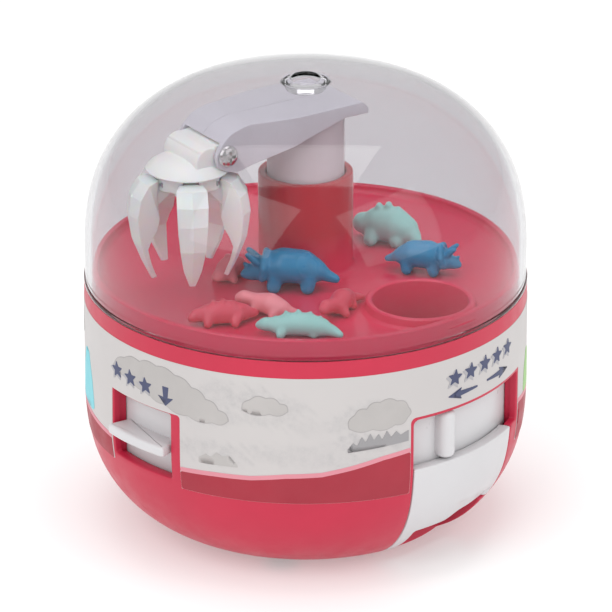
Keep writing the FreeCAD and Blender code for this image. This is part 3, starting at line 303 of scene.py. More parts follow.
def rounded(corners, radius, steps=5):
    """Closed 2-D outline with its corners rounded; a corner may carry its own radius as a third number."""
    out = []
    count = len(corners)
    for index, corner in enumerate(corners):
        here = Vector(corner[:2])
        before = Vector(corners[index - 1][:2]) - here
        after = Vector(corners[(index + 1) % count][:2]) - here
        reach = corner[2] if len(corner) > 2 else radius
        if reach <= 0 or before.length < 1e-6 or after.length < 1e-6:
            out.append(tuple(here))
            continue
        half = before.angle(after, math.pi) / 2
        if half > math.radians(88.5):
            out.append(tuple(here))
            continue
        back = min(reach / math.tan(half), before.length * 0.48, after.length * 0.48)
        reach = back * math.tan(half)
        centre = here + (before.normalized() + after.normalized()).normalized() * (reach / math.sin(half))
        first = here + before.normalized() * back - centre
        last = here + after.normalized() * back - centre
        sweep = first.angle_signed(last)
        for step in range(steps + 1):
            turned = first.copy()
            turned.rotate(Matrix.Rotation(-sweep * step / steps, 2))
            out.append(tuple(centre + turned))
    return out


def densified(loop, step):
    out = []
    for index, start in enumerate(loop):
        finish = loop[(index + 1) % len(loop)]
        length = math.dist(start, finish)
        parts = max(1, math.ceil(length / step))
        for part in range(parts):
            share = part / parts
            out.append((start[0] + (finish[0] - start[0]) * share, start[1] + (finish[1] - start[1]) * share))
    return out


def grown(loop, distance):
    """The closed outline moved outwards by distance, or inwards if it is negative."""
    points = np.array(loop)
    ahead = np.roll(points, -1, axis=0) - points
    area = np.sum(points[:, 0] * np.roll(points, -1, axis=0)[:, 1]
                  - np.roll(points, -1, axis=0)[:, 0] * points[:, 1])
    sides = np.stack([ahead[:, 1], -ahead[:, 0]], axis=1) * (1 if area > 0 else -1)
    sides /= np.maximum(np.linalg.norm(sides, axis=1, keepdims=True), 1e-9)
    normal = sides + np.roll(sides, 1, axis=0)
    normal /= np.maximum(np.linalg.norm(normal, axis=1, keepdims=True), 1e-9)
    stretch = 1 / np.maximum(np.sum(normal * sides, axis=1, keepdims=True), 0.6)
    return [tuple(point) for point in points + normal * stretch * distance]


def lathe(name, outline, material, body, nodes=(), centre=(0, 0), segments=160, crease=32, build=True):
    """A turned piece: a closed outline of (radius, height) swept round a vertical axis."""
    points = []
    faces = []
    count = len(outline)
    for segment in range(segments):
        angle = 2 * math.pi * segment / segments
        for radius, height in outline:
            points.append((centre[0] + radius * math.cos(angle), centre[1] + radius * math.sin(angle),
                           height))
    for segment in range(segments):
        following = (segment + 1) % segments
        for index in range(count):
            after = (index + 1) % count
            if outline[index][0] < 1e-6 and outline[after][0] < 1e-6:
                continue
            faces.append((segment * count + index, following * count + index, following * count + after,
                          segment * count + after))
    if not build:
        return points, faces
    return piece(name, points, faces, material, body, nodes, crease)


def prism(outline, low, high, soft=0.0, steps=3):
    """Points and faces of an upright plate with softly rounded rims; the outline is in plan."""
    rings = []
    if soft > 0:
        for step in range(steps + 1):
            angle = math.pi / 2 * step / steps
            rings.append((grown(outline, -soft * (1 - math.sin(angle))), low + soft * (1 - math.cos(angle))))
        for step in range(steps, -1, -1):
            angle = math.pi / 2 * step / steps
            rings.append((grown(outline, -soft * (1 - math.sin(angle))), high - soft * (1 - math.cos(angle))))
    else:
        rings = [(outline, low), (outline, high)]
    points = [(x, y, z) for loop, z in rings for x, y in loop]
    count = len(outline)
    faces = [tuple(range(count - 1, -1, -1)), tuple(range(len(points) - count, len(points)))]
    for ring in range(len(rings) - 1):
        for index in range(count):
            after = (index + 1) % count
            faces.append((ring * count + index, ring * count + after, (ring + 1) * count + after,
                          (ring + 1) * count + index))
    return points, faces


def ring_part(inner, outer, low, high, start, end, soft=0.3):
    """Points and faces of a piece of a ring between two bearings."""
    steps = max(2, math.ceil((end - start) / 2))
    outline = [at_bearing(outer, start + (end - start) * step / steps) for step in range(steps + 1)]
    outline += [at_bearing(inner, end - (end - start) * step / steps) for step in range(steps + 1)]
    return prism(outline, low, high, soft)


def joined(shapes):
    """Several (points, faces) as one; they may pass into each other."""
    points = []
    faces = []
    for some_points, some_faces in shapes:
        start = len(points)
        points += some_points
        faces += [tuple(index + start for index in face) for face in some_faces]
    return points, faces


def laid(shape, order, turn=0.0, shift=(0, 0, 0)):
    """A shape with its axes reordered, then turned about the vertical and moved."""
    points, faces = shape
    swapped = [tuple(sign * point[axis] for axis, sign in order) for point in points]
    return moved(swapped, turn, shift), faces


SIDEWAYS = ((0, 1), (2, -1), (1, 1))


# ---------------------------------------------------------------- walls that windows are cut in

class Wall:
    """The outer profile of a turned wall, walked along its length from the foot up."""

    def __init__(self, path):
        self.radius = np.array([point[0] for point in path])
        self.height = np.array([point[1] for point in path])
        steps = np.hypot(np.diff(self.radius), np.diff(self.height))
        self.walk = np.concatenate([[0.0], np.cumsum(steps)])
        out_x = np.gradient(self.height, self.walk)
        out_z = -np.gradient(self.radius, self.walk)
        size = np.hypot(out_x, out_z)
        self.out_x = out_x / size
        self.out_z = out_z / size

    def at_height(self, height):
        return float(np.interp(height, self.height, self.walk))

    def at_radius(self, radius):
        return float(np.interp(radius, self.radius, self.walk))

    def point(self, across, walk, depth):
        """Across is the bearing in mm round the wall, walk is the way up it, depth goes inwards."""
        bearing = math.radians(across / PER_DEGREE)
        radius = np.interp(walk, self.walk, self.radius) - depth * np.interp(walk, self.walk, self.out_x)
        height = np.interp(walk, self.walk, self.height) - depth * np.interp(walk, self.walk, self.out_z)
        return radius * math.sin(bearing), -radius * math.cos(bearing), height


def base_path():
    bow_x = CASE_RADIUS - 66.7
    turn = math.radians(10.2)
    foot_x = bow_x + 33 * math.cos(turn)
    foot_z = 39.2 - 33 * math.sin(turn)
    start = math.asin(foot_z / 33.7)
    path = []
    for step in range(90):
        angle = -start + (start - turn) * step / 90
        path.append((foot_x + 33.7 * math.cos(angle), foot_z + 33.7 * math.sin(angle)))
    for step in range(40):
        angle = -turn + turn * step / 40
        path.append((bow_x + 66.7 * math.cos(angle), 39.2 + 66.7 * math.sin(angle)))
    for step in range(66):
        path.append((CASE_RADIUS, 39.2 + (SEAM - 39.2) * step / 65))
    return path


BASE_WALL = Wall(base_path())


def on_wall(corners):
    """Bearings and heights to the wall's own measure."""
    return [(corner[0] * PER_DEGREE, BASE_WALL.at_height(corner[1]), *corner[2:]) for corner in corners]


def inside(points, loop):
    """Which points lie inside a closed outline."""
    ring = np.array(loop)
    after = np.roll(ring, -1, axis=0)
    result = np.zeros(len(points), bool)
    for (x_one, y_one), (x_two, y_two) in zip(ring, after):
        if y_one == y_two:
            continue
        crosses = (points[:, 1] < y_one) != (points[:, 1] < y_two)
        result ^= crosses & (points[:, 0] < (x_two - x_one) * (points[:, 1] - y_one) / (y_two - y_one)
                             + x_one)
    return result


def filled(rim, holes, step):
    """Triangles that fill an outline round its holes. Gives the points, triangles and each loop's indices."""
    loops = [rim, *holes]
    flat = [point for loop in loops for point in loop]
    edges = []
    starts = []
    for loop in loops:
        start = len(edges)
        starts.append(start)
        edges += [(start + index, start + (index + 1) % len(loop)) for index in range(len(loop))]
    rim_points = np.array(flat)
    low = rim_points.min(axis=0)
    high = rim_points.max(axis=0)
    columns = max(1, round((high[0] - low[0]) / step))
    rows = max(1, round((high[1] - low[1]) / step))
    grid = np.array([(low[0] + (high[0] - low[0]) * column / columns,
                      low[1] + (high[1] - low[1]) * row / rows)
                     for row in range(1, rows) for column in range(1, columns)]).reshape(-1, 2)
    keep = inside(grid, rim)
    for hole in holes:
        keep &= ~inside(grid, hole)
    grid = grid[keep]
    if len(grid):
        near = np.array([np.min(np.sum((rim_points - point) ** 2, axis=1)) for point in grid])
        grid = grid[near > (0.6 * step) ** 2]
    points = [Vector(point) for point in flat] + [Vector(point) for point in grid]
    made, _, faces, origins, _, _ = delaunay_2d_cdt(points, edges, [], 0, 1e-6)
    index_of = {}
    for number, sources in enumerate(origins):
        for source in sources:
            index_of[source] = number
    middles = np.array([[sum(made[corner][axis] for corner in face) / len(face) for axis in (0, 1)]
                        for face in faces])
    good = inside(middles, rim)
    for hole in holes:
        good &= ~inside(middles, hole)
    kept = [tuple(face) for face, use in zip(faces, good) if use]
    indices = [[index_of[start + index] for index in range(len(loop))] for start, loop in zip(starts, loops)]
    return [tuple(point) for point in made], kept, indices


def band(first, second):
    """Faces between two closed rings of as many points."""
    count = len(first)
    return [(first[i], first[(i + 1) % count], second[(i + 1) % count], second[i]) for i in range(count)]


def skin(wall, rim, holes, outer, inner, soft, step=2.0, dip=None, steps=3):
    """A curved plate on a wall, with windows: its outline and its windows have softly rounded outer edges."""
    def depth_at(across, walk, depth):
        return depth + (dip(across, walk) if dip else 0.0)

    rim_out = grown(rim, -soft) if soft else rim
    holes_out = [grown(hole, soft) if soft else hole for hole in holes]
    flat, faces, indices = filled(rim_out, holes_out, step)
    points = [wall.point(x, y, depth_at(x, y, outer)) for x, y in flat]
    back_flat, back_faces, back_indices = filled(rim, holes, step * 1.5)
    shift = len(points)
    points += [wall.point(x, y, inner) for x, y in back_flat]
    faces = list(faces) + [tuple(index + shift for index in face) for face in back_faces]
    for number, loop in enumerate([rim, *holes]):
        previous = indices[number]
        sign = -1 if number == 0 else 1
        for part in range(1, steps + 1) if soft else []:
            angle = math.pi / 2 * part / steps
            ring = grown(loop, sign * soft * (1 - math.sin(angle))) if part < steps else loop
            start = len(points)
            points += [wall.point(x, y, depth_at(x, y, outer) + soft * (1 - math.cos(angle)))
                       for x, y in ring]
            current = list(range(start, start + len(loop)))
            faces += band(previous, current)
            previous = current
        faces += band(previous, [index + shift for index in back_indices[number]])
    return points, faces


def ring_wall(wall, low, high, holes, outer, inner, soft, step=2.0, steps=3):
    """A full turned wall with windows. Its two ends are left open, one ring of points for each skin."""
    half = 180 * PER_DEGREE
    columns = 180
    sides = max(2, round((high - low) / step))

    def frame_loop(bottom, top):
        loop = [(-half + 2 * half * index / columns, bottom) for index in range(columns)]
        loop += [(half, bottom + (top - bottom) * index / sides) for index in range(sides)]
        loop += [(half - 2 * half * index / columns, top) for index in range(columns)]
        loop += [(-half, top - (top - bottom) * index / sides) for index in range(sides)]
        return loop

    points = []
    faces = []
    ends = []
    hole_rings = []
    for depth, hole_set in ((outer, [grown(hole, soft) for hole in holes]), (inner, holes)):
        flat, made, indices = filled(frame_loop(low, high), hole_set, step if depth == outer else step * 1.5)
        shift = len(points)
        points += [wall.point(x, y, depth) for x, y in flat]
        faces += [tuple(index + shift for index in face) for face in made]
        rim = [index + shift for index in indices[0]]
        ends.append((rim[:columns + 1], rim[columns + sides:2 * columns + sides + 1]))
        hole_rings.append([[index + shift for index in loop] for loop in indices[1:]])
    for number, loop in enumerate(holes):
        previous = hole_rings[0][number]
        for part in range(1, steps + 1):
            angle = math.pi / 2 * part / steps
            ring = grown(loop, soft * (1 - math.sin(angle))) if part < steps else loop
            start = len(points)
            points += [wall.point(x, y, outer + soft * (1 - math.cos(angle))) for x, y in ring]
            current = list(range(start, start + len(loop)))
            faces += band(previous, current)
            previous = current
        faces += band(previous, hole_rings[1][number])
    return points, faces, ends


def window(corners, radius, step=1.4):
    return densified(rounded(on_wall(corners), radius), step)


# ---------------------------------------------------------------- base

LEVER_WINDOW = window([(-58.8, 31), (-36.6, 31), (-36.6, 50.6), (-58.8, 50.6)], 0.7)
SLIDE_WINDOW = window([(28.5, 50.7, 1.6), (28.5, 2.9), (61, 2.9), (61, 14, 0.4), (67, 14, 0.8),
                       (67, 35.9, 0.4), (71.1, 35.9, 0.4), (71.1, 50.7)], 0.8)


def well_loop(bearing):
    """A round screw well's mouth on the curved foot."""
    middle_x, middle_y = at_bearing(39.5, bearing)
    loop = []
    for step in range(28):
        angle = 2 * math.pi * step / 28
        x = middle_x + 4.4 * math.cos(angle)
        y = middle_y + 4.4 * math.sin(angle)
        turn = math.degrees(math.atan2(x, -y))
        while turn < bearing - 180:
            turn += 360
        while turn > bearing + 180:
            turn -= 360
        loop.append((turn * PER_DEGREE, BASE_WALL.at_radius(math.hypot(x, y))))
    return loop


WELL_BEARINGS = (-10, 100, -150)
WELL_REACH = 39.5
DECK_POST_BEARINGS = (5, 120, 250)
DECK_POST_REACH = 46
SHELL_WALL = 2.0
FOOT_POINTS = 90
FOOT_CLEAR = 1.1


def base_shell():
    low = BASE_WALL.walk[0]
    high = BASE_WALL.walk[-1]
    holes = [LEVER_WINDOW, SLIDE_WINDOW] + [well_loop(bearing) for bearing in WELL_BEARINGS]
    points, faces, ends = ring_wall(BASE_WALL, low, high, holes, 0.0, SHELL_WALL, 0.45, 1.9)
    outer_foot, outer_top = ends[0]
    inner_foot, inner_top = ends[1]
    faces += [(outer_top[i], outer_top[i + 1], inner_top[i + 1], inner_top[i])
              for i in range(len(outer_top) - 1)]
    faces.append(tuple(outer_foot[:-1]))
    faces.append(tuple(inner_foot[:-1]))
    fittings = [
        ring_part(57.5, 61, 67.5, 69.3, 72, 378),
        ring_part(57.0, 61, 31.9, 33.7, 72.5, 205),
        ring_part(57.0, 61, 53.3, 55.1, 72.5, 205),
        ring_part(58.4, 61, 29.2, 56.6, -60.8, -59.0),
        ring_part(58.4, 61, 29.2, 56.6, -36.4, -32.5),
        ring_part(58.4, 61, 29.2, 30.9, -60.0, -35.0),
        ring_part(59.0, 61, 33.0, 53.5, 71.3, 73.5),
    ]
    for bearing in DECK_POST_BEARINGS:
        x, y = at_bearing(DECK_POST_REACH, bearing)
        fittings.append(lathe("", [(0, 3), (3, 3), (3, 37.7), (2.7, 38), (0, 38)], None, None, centre=(x, y),
                              segments=32, build=False))
    for bearing in WELL_BEARINGS:
        x, y = at_bearing(WELL_REACH, bearing)
        cup = [(4.4, 2.2), (4.4, 11.4), (1.6, 11.4), (1.6, 13.6), (6, 13.6), (6, 2.2)]
        fittings.append(lathe("", cup, None, None, centre=(x, y), segments=48, build=False))
    x, y = at_bearing(51, -41)
    fittings.append(lathe("", [(0, 6), (3.8, 6), (3.8, 15.7), (3.5, 16), (0, 16)], None, None, centre=(x, y),
                          segments=32, build=False))
    fitting_points, fitting_faces = joined(fittings)
    foot = (BASE_WALL.radius[:FOOT_POINTS], BASE_WALL.height[:FOOT_POINTS])
    fitting_points = [(x, y, max(z, float(np.interp(math.hypot(x, y), *foot)) + FOOT_CLEAR))
                      for x, y, z in fitting_points]
    piece("base_shell_skin", points, faces, CASE_PINK, "case", ["base_shell"])
    piece("base_shell_fittings", fitting_points, fitting_faces, CASE_PINK, "case")


base_shell()


# ---------------------------------------------------------------- label and its print

LABEL_LOW = 28.9
LABEL_TOP = 66.6


# bearing, height, half length, half height and strength of each smudge of sketching
CLOUDS = [
    (-27, 58, 5, 3.5, 0.5), (-21, 60, 6, 4, 0.65), (-13, 59.5, 6, 4, 0.7), (-6, 57.5, 6, 3.5, 0.6),
    (-24, 54, 9, 3, 0.5), (-9, 54.5, 8, 2.6, 0.5), (1, 52.5, 5, 3, 0.35), (9, 53, 5, 2.8, 0.55),
    (14, 55.5, 5, 2.8, 0.6), (18, 57, 4, 2.4, 0.5), (20, 52, 5, 2, 0.35), (12, 48, 4, 2.5, 0.8),
    (17, 46.5, 6, 2.2, 0.6), (8, 46.5, 4, 1.6, 0.5), (-2, 44, 16, 2.6, 0.55), (-24, 42.5, 11, 3.2, 0.6),
    (20, 45, 8, 1.8, 0.7), (6, 41.5, 14, 1.8, 0.5), (-95, 57, 12, 4, 0.6), (-110, 52, 10, 3.5, 0.5),
    (-130, 60, 12, 3, 0.5), (-155, 55, 14, 4, 0.6), (175, 59, 10, 3, 0.5), (150, 54, 12, 4, 0.6),
    (128, 58, 10, 3.5, 0.5), (105, 55, 10, 4, 0.6), (-100, 43, 20, 3, 0.5), (-150, 42, 25, 3, 0.5),
    (150, 43, 25, 3, 0.5), (110, 42, 18, 3, 0.5),
]


def cloud_ink(bearing, height):
    amount = 0.0
    for middle, level, long_way, tall_way, strength in CLOUDS:
        away = math.hypot((bearing - middle) / long_way, (height - level) / tall_way)
        wobble = 0.22 * math.sin(bearing * 1.7 + height * 2.3) + 0.16 * math.sin(bearing * 3.1 - height * 1.9)
        edge = 1.15 - away + wobble
        amount = max(amount, 0.6 * strength * min(1.0, max(0.0, edge * 3.5)))
    return amount


def label():
    rim = densified(rounded(on_wall([
        (-179.8, LABEL_LOW, 0), (-59.6, LABEL_LOW, 0.3), (-59.3, 50.9, 0.3), (-33.6, 51.0, 1.0),
                                     (-33.6, LABEL_LOW, 0.3),
        (27.5, LABEL_LOW, 0.5), (27.5, 51.7, 1.6), (72.1, 51.7, 0.6), (72.1, LABEL_LOW, 0.5),
        (179.8, LABEL_LOW, 0), (179.8, LABEL_TOP, 0), (-179.8, LABEL_TOP, 0)]), 0.5), 1.6)
    points, faces = skin(BASE_WALL, rim, [], -0.12, 0.06, 0.05, 1.3, steps=1)
    thing = piece("label_band_skin", points, faces, LABEL_PRINT, "case", ["label_band"])
    ink = thing.data.attributes.new("ink", "FLOAT", "POINT")
    for vertex in thing.data.vertices:
        x, y, z = vertex.co / MM
        ink.data[vertex.index].value = cloud_ink(math.degrees(math.atan2(x, -y)), z)


label()


def printed(name, corners, material, height=0.17, radius=0.3, step=1.6):
    """A flat patch of ink on the label: an outline of bearings and heights."""
    rim = densified(rounded(on_wall(corners), radius, 3), 1.2)
    points, faces = skin(BASE_WALL, rim, [], -height, -0.11, 0.0, step)
    return points, faces, material, name


def ink_pieces():
    grounds = (
        ("left", 0.5, [(-179.7, 37.5), (-160, 39.2), (-140, 38.1), (-120, 36.6), (-100, 37.6), (-80, 36.4),
                       (-59.9, 35.2)]),
        ("front", 0.5, [(-33.5, 34.5), (-24, 35.2), (-14, 35.6), (-5, 36.8), (4, 37.3), (12, 38.9),
                        (20, 40.8), (27.4, 41.8)]),
        ("right", 0.8, [(72.2, 40.5), (85, 39.2), (100, 37.2), (120, 36.2), (140, 37.9), (160, 38.8),
                        (179.7, 37.5)]),
    )
    bottom = LABEL_LOW + 0.1
    patches = []
    for name, radius, line in grounds:
        corners = [(line[0][0], bottom), *line, (line[-1][0], bottom)]
        patches.append(printed("ink_ground_" + name, corners[::-1], INK_GROUND, radius=radius))
    for name, radius, line in grounds:
        upper = [(bearing, height + 1.3) for bearing, height in line]
        patches.append(printed("ink_edge_" + name, line + upper[::-1], INK_ROSE, 0.2, 0.4))

    def arrow(start, end, height, material, lift, name):
        way = 1 if end > start else -1
        neck = end - way * 4.2
        corners = [(start, height + 0.25), (neck, height + 0.75), (neck - way * 0.6, height + 1.75),
                   (end, height), (neck - way * 0.6, height - 1.75), (neck, height - 0.75),
                   (start, height - 0.25)]
        return printed(name, corners, material, lift, 0.12)

    patches.append(arrow(49.2, 38.6, 55.2, INK_NAVY, 0.26, "ink_arrow_left"))
    patches.append(arrow(53.2, 63.6, 55.4, INK_NAVY, 0.26, "ink_arrow_right"))

    def star(bearing, height, size, turn, squash=1.0):
        corners = []
        for point in range(10):
            reach = size if point % 2 == 0 else size * 0.46
            angle = math.radians(turn + 36 * point)
            corners.append((bearing + reach * math.sin(angle) / PER_DEGREE,
                            height + squash * reach * math.cos(angle)))
        return corners

    for side, count, first, apart, base, rise, turn in (("right", 5, 41.0, 5.6, 60.4, 0.25, 8),
                                                        ("left", 3, -56.4, 5.8, 57.4, -0.3, -8)):
        for number in range(count):
            bearing = first + number * apart
            height = base + rise * number
            shadow = star(bearing - 0.5, height - 0.55, 3.1, turn)
            patches.append(printed("ink_star_shadow_%s_%d" % (side, number), shadow, INK_SHADOW, 0.235, 0.15))
            patches.append(printed("ink_star_%s_%d" % (side, number), star(bearing, height, 2.7, turn),
                                   INK_NAVY, 0.265, 0.15))

    def puffs(corners, puff=0.9):
        """The outline with a round puff on each of its sides."""
        out = []
        for index, (bearing, height) in enumerate(corners):
            next_bearing, next_height = corners[(index + 1) % len(corners)]
            along = ((next_bearing - bearing) * PER_DEGREE, next_height - height)
            length = math.hypot(*along)
            for step in range(6):
                share = step / 6
                out_by = puff * math.sin(math.pi * share) * min(1.0, length / 3)
                out.append((bearing + (along[0] * share + along[1] / length * out_by) / PER_DEGREE,
                            height + along[1] * share - along[0] / length * out_by))
        return out

    def cloud_patch(name, corners):
        for part, material, lift, grow in (("line", INK_LINE, 0.165, 0.2), ("fill", INK_CLOUD, 0.205, 0.0)):
            flat = [(bearing * PER_DEGREE, z) for bearing, z in puffs(corners)]
            loop = [(x / PER_DEGREE, z) for x, z in grown(flat, grow)]
            patches.append(printed(name + part, loop, material, lift, 0.0))

    cloud_patch("cloud_grab", [(-58, 58.5), (-51, 56.9), (-44, 55.2), (-38, 53.4), (-31, 51.9), (-24, 51.4),
                               (-19.8, 52.6), (-22.5, 55.2), (-26, 57.8), (-30, 60.4), (-35, 62.8),
                               (-41, 63.8), (-47, 63.2), (-53, 62.2)])
    cloud_patch("cloud_front", [(-16, 56.4), (-9, 56.0), (-4.5, 57.0), (-6.5, 59.0), (-10, 60.4),
                                (-14, 59.6)])
    cloud_patch("cloud_move", [(11, 51.4), (17, 50.6), (23, 51.0), (26.4, 52.4), (26.6, 55.4), (23.5, 57.8),
                               (19, 58.2), (15.5, 56.6), (12.4, 55.2)])
    for number, bearing in enumerate((-170, -118, -92, 98, 126, 158)):
        level = 54 + 2 * (number % 3)
        cloud_patch("cloud_round_%d" % number, [(bearing - 8, level), (bearing - 2, level - 1.4),
                                                (bearing + 5, level - 1.0), (bearing + 9, level + 0.6),
                                                (bearing + 4, level + 3.2), (bearing - 3, level + 4.0)])
    bushes = [(-28, 40.2), (-26, 41.6), (-24.6, 40.9), (-23, 42.6), (-21.4, 41.6), (-19.6, 42.2), (-18, 40.4),
              (-17, 39.0), (-28, 38.6)]
    patches.append(printed("ink_bushes", bushes, INK_CLOUD, 0.19, 0.3))
    down = [(-38.9, 58.6), (-36.9, 58.6), (-37.2, 55.4), (-35.4, 55.6), (-37.9, 52.9), (-40.4, 55.6),
            (-38.6, 55.4)]
    patches.append(printed("ink_arrow_down", down, INK_NAVY, 0.26, 0.1))

    def hill(middle, width, low, high):
        return [(middle - width, low), (middle - width * 0.7, low + (high - low) * 0.6),
                (middle - width * 0.2, high), (middle + width * 0.3, high - 0.6),
                (middle + width * 0.75, low + (high - low) * 0.5), (middle + width, low)]

    for name, middle, width, low, high, material, lift in (
            ("ink_cyan_left", -78, 7, 38.3, 55, INK_CYAN, 0.23),
            ("ink_cyan_back", -140, 9, 39.8, 52, INK_CYAN, 0.23),
            ("ink_green_right", 83, 5.5, 41.0, 53, INK_GREEN, 0.23),
            ("ink_orange_right", 92, 5.0, 40.0, 48, INK_ORANGE, 0.24),
            ("ink_green_back", 150, 9, 39.8, 50, INK_GREEN, 0.23)):
        patches.append(printed(name, hill(middle, width, low, high), material, lift, 1.5))
    tops = [(10.6, 45.2), (12.0, 47.0), (13.0, 46.0), (14.2, 48.6), (15.2, 46.8), (16.4, 49.4), (17.4, 47.2),
            (18.6, 48.9), (19.6, 47.0), (20.8, 49.6), (22.0, 47.4), (23.4, 49.0), (24.6, 47.6), (26.8, 48.6),
            (26.8, 45.4), (10.6, 44.2)]
    patches.append(printed("ink_tree_line", tops, INK_TREE, 0.24, 0.12))
    groups = {}
    for points, faces, material, name in patches:
        groups.setdefault(material.name, (material, []))[1].append((points, faces))
    for key, (material, shapes) in groups.items():
        points, faces = joined(shapes)
        piece("label_" + key, points, faces, material, "case")


ink_pieces()


# ---------------------------------------------------------------- outlet cover, slide and lever

def scoop(across, walk):
    """How far the thumb scoop is sunk into the outlet cover."""
    bearing = across / PER_DEGREE
    rise = walk - BASE_WALL.at_height(14.0)
    sides = min((bearing - 43.0) / 9.0, (64.5 - bearing) / 1.6)
    top = (6.6 - 0.12 * (bearing - 46) - rise) / 1.0
    share = max(0.0, min(1.0, sides, top))
    return 0.9 * share * share * (3 - 2 * share)


def outlet_cover():
    rim = window([(28.7, 35.8, 0.5), (28.7, 3.1, 0.5), (32.2, 3.1, 0.5), (33.2, 13.2, 1.0), (60.2, 14.1, 0.8),
                  (66.8, 14.1, 1.0), (66.8, 35.8, 0.5)], 0.5, 1.0)
    shapes = [skin(BASE_WALL, rim, [], 0.0, 2.0, 0.35, 1.2, scoop)]
    shapes.append(ring_part(59.1, 61.4, 33.8, 35.8, 28.9, 66.6, 0.25))
    points, faces = joined(shapes)
    piece("outlet_cover_plate", points, faces, WHITE_GLOSS, "case", ["outlet_cover"])


outlet_cover()


def rib(inner, outer, half, low, high, bearing, soft=1.0):
    """An upright finger rib with a fully rounded nose."""
    outline = [(inner, -half), (outer - half, -half)]
    for step in range(1, 12):
        angle = math.pi * step / 12 - math.pi / 2
        outline.append((outer - half + half * math.cos(angle), half * math.sin(angle)))
    outline += [(outer - half, half), (inner, half)]
    points, faces = prism(outline, low, high, soft, 4)
    return moved(points, bearing - 90), faces


def ring_of(name, shape, count, start, step, material, body, nodes=()):
    """One shape repeated round the vertical axis by a node tree: count copies, a step apart."""
    tree = bpy.data.node_groups.new(name + "_ring", "GeometryNodeTree")
    sockets = {}
    for label_text, kind in (("Shape", "NodeSocketGeometry"), ("Count", "NodeSocketInt"),
                             ("Start", "NodeSocketFloat"),
                             ("Step", "NodeSocketFloat"), ("Finish", "NodeSocketMaterial")):
        sockets[label_text] = tree.interface.new_socket(label_text, in_out="INPUT",
                                                        socket_type=kind).identifier
    tree.interface.new_socket("Shape", in_out="OUTPUT", socket_type="NodeSocketGeometry")
    make = tree.nodes.new
    link = tree.links.new
    given = make("NodeGroupInput")
    points = make("GeometryNodePoints")
    index = make("GeometryNodeInputIndex")
    angle = make("ShaderNodeMath")
    angle.operation = "MULTIPLY_ADD"
    turn = make("ShaderNodeCombineXYZ")
    copies = make("GeometryNodeInstanceOnPoints")
    real = make("GeometryNodeRealizeInstances")
    paint = make("GeometryNodeSetMaterial")
    result = make("NodeGroupOutput")
    link(given.outputs["Count"], points.inputs["Count"])
    link(index.outputs[0], angle.inputs[0])
    link(given.outputs["Step"], angle.inputs[1])
    link(given.outputs["Start"], angle.inputs[2])
    link(angle.outputs[0], turn.inputs["Z"])
    link(points.outputs[0], copies.inputs["Points"])
    link(given.outputs["Shape"], copies.inputs["Instance"])
    link(turn.outputs[0], copies.inputs["Rotation"])
    link(copies.outputs[0], real.inputs[0])
    link(real.outputs[0], paint.inputs["Geometry"])
    link(given.outputs["Finish"], paint.inputs["Material"])
    link(paint.outputs[0], result.inputs[0])
    thing = piece(name, *shape, material, None)
    ring = thing.modifiers.new("ring", "NODES")
    ring.node_group = tree
    for socket, value in (("Count", count), ("Start", math.radians(start)), ("Step", math.radians(step)),
                          ("Finish", material)):
        ring[sockets[socket]] = value
    return settle(applied(thing), body, nodes)


def shifted(thing, x, y):
    """Put a finished piece in its place by its mesh."""
    thing.data.transform(Matrix.Translation((x * MM, y * MM, 0)))
    return thing


def move_slider():
    shapes = [ring_part(57.3, 58.8, 34, 53, -1.5, 168, 0.2), rib(57.6, 62.7, 2.7, 36.4, 50.3, 40, 1.5)]
    points, faces = joined(shapes)
    piece("move_slider_band", points, faces, WHITE_GLOSS, "slide", ["move_slider"])
    tooth = prism([(57.6, -0.95), (57.6, 0.95), (54.1, 0.33), (54.1, -0.33)], 41, 46, 0.15, 2)
    ring_of("move_slider_teeth", tooth, 17, 60 - 11.5 * 360 / 110, 360 / 110, WHITE_GLOSS, "slide")


move_slider()


def spur_gear(name, teeth, bore, x, y, turn, body):
    pitch = teeth / 2
    root = pitch - 1.25
    rim = rounded([(bore, 41), (root, 41), (root, 46), (bore, 46)], 0.25, 3)
    web = rounded([(bore, 41.0), (bore, 46.0), (bore + 1.6, 46.0), (bore + 1.6, 44.6), (root - 1.6, 44.6),
                   (root - 1.6, 46.0), (root, 46.0), (root, 41.0)], 0.2, 2)
    hub = lathe(name + "_web", web if root - bore > 4.5 else rim, GEAR_WHITE, None, segments=96)
    tooth = prism([(root - 0.3, -0.95), (root - 0.3, 0.95), (pitch + 0.9, 0.33), (pitch + 0.9, -0.33)], 41,
                  46, 0.15, 2)
    ring = ring_of(name + "_teeth", tooth, teeth, turn, 360 / teeth, GEAR_WHITE, None)
    for thing in (hub, ring):
        shifted(thing, x, y)
    settle(hub, body, [name])
    settle(ring, body)


spur_gear("column_gear", 30, 10.81, 0, 0, 60, "mast")
spur_gear("idler_inner", 20, 1.56, *at_bearing(25, 150), 69, "idler_b")
spur_gear("idler_outer", 20, 1.56, *at_bearing(45, 150), 60, "idler_a")


def grab_lever():
    shapes = [ring_part(56.7, 58.2, 30.4, 57, -61, -32.3, 0.3)]
    steps = 14
    outline = [at_bearing(65.0, -58.0 + 20.6 * step / steps) for step in range(steps + 1)]
    outline += [at_bearing(57.3, -37.4 - 20.6 * step / steps) for step in range(steps + 1)]
    outline = rounded(outline, 2.6, 6)
    shapes.append(prism(outline, 38, 41, 0.9, 5))
    foot = [at_bearing(49.6, -56.5), at_bearing(57.4, -56.5), at_bearing(57.6, -46), at_bearing(57.4, -36),
            at_bearing(49.6, -36)]
    shapes.append(prism(rounded(foot, 1.5), 33.2, 35.2, 0.3))
    points, faces = joined(shapes)
    piece("grab_lever_plate", points, faces, WHITE_GLOSS, "lever", ["grab_lever"])


grab_lever()


# ---------------------------------------------------------------- dome

SIDE_CURVE = 63.5
SHOULDER_CURVE = 39.3
DOME_STRAIGHT = 11.4


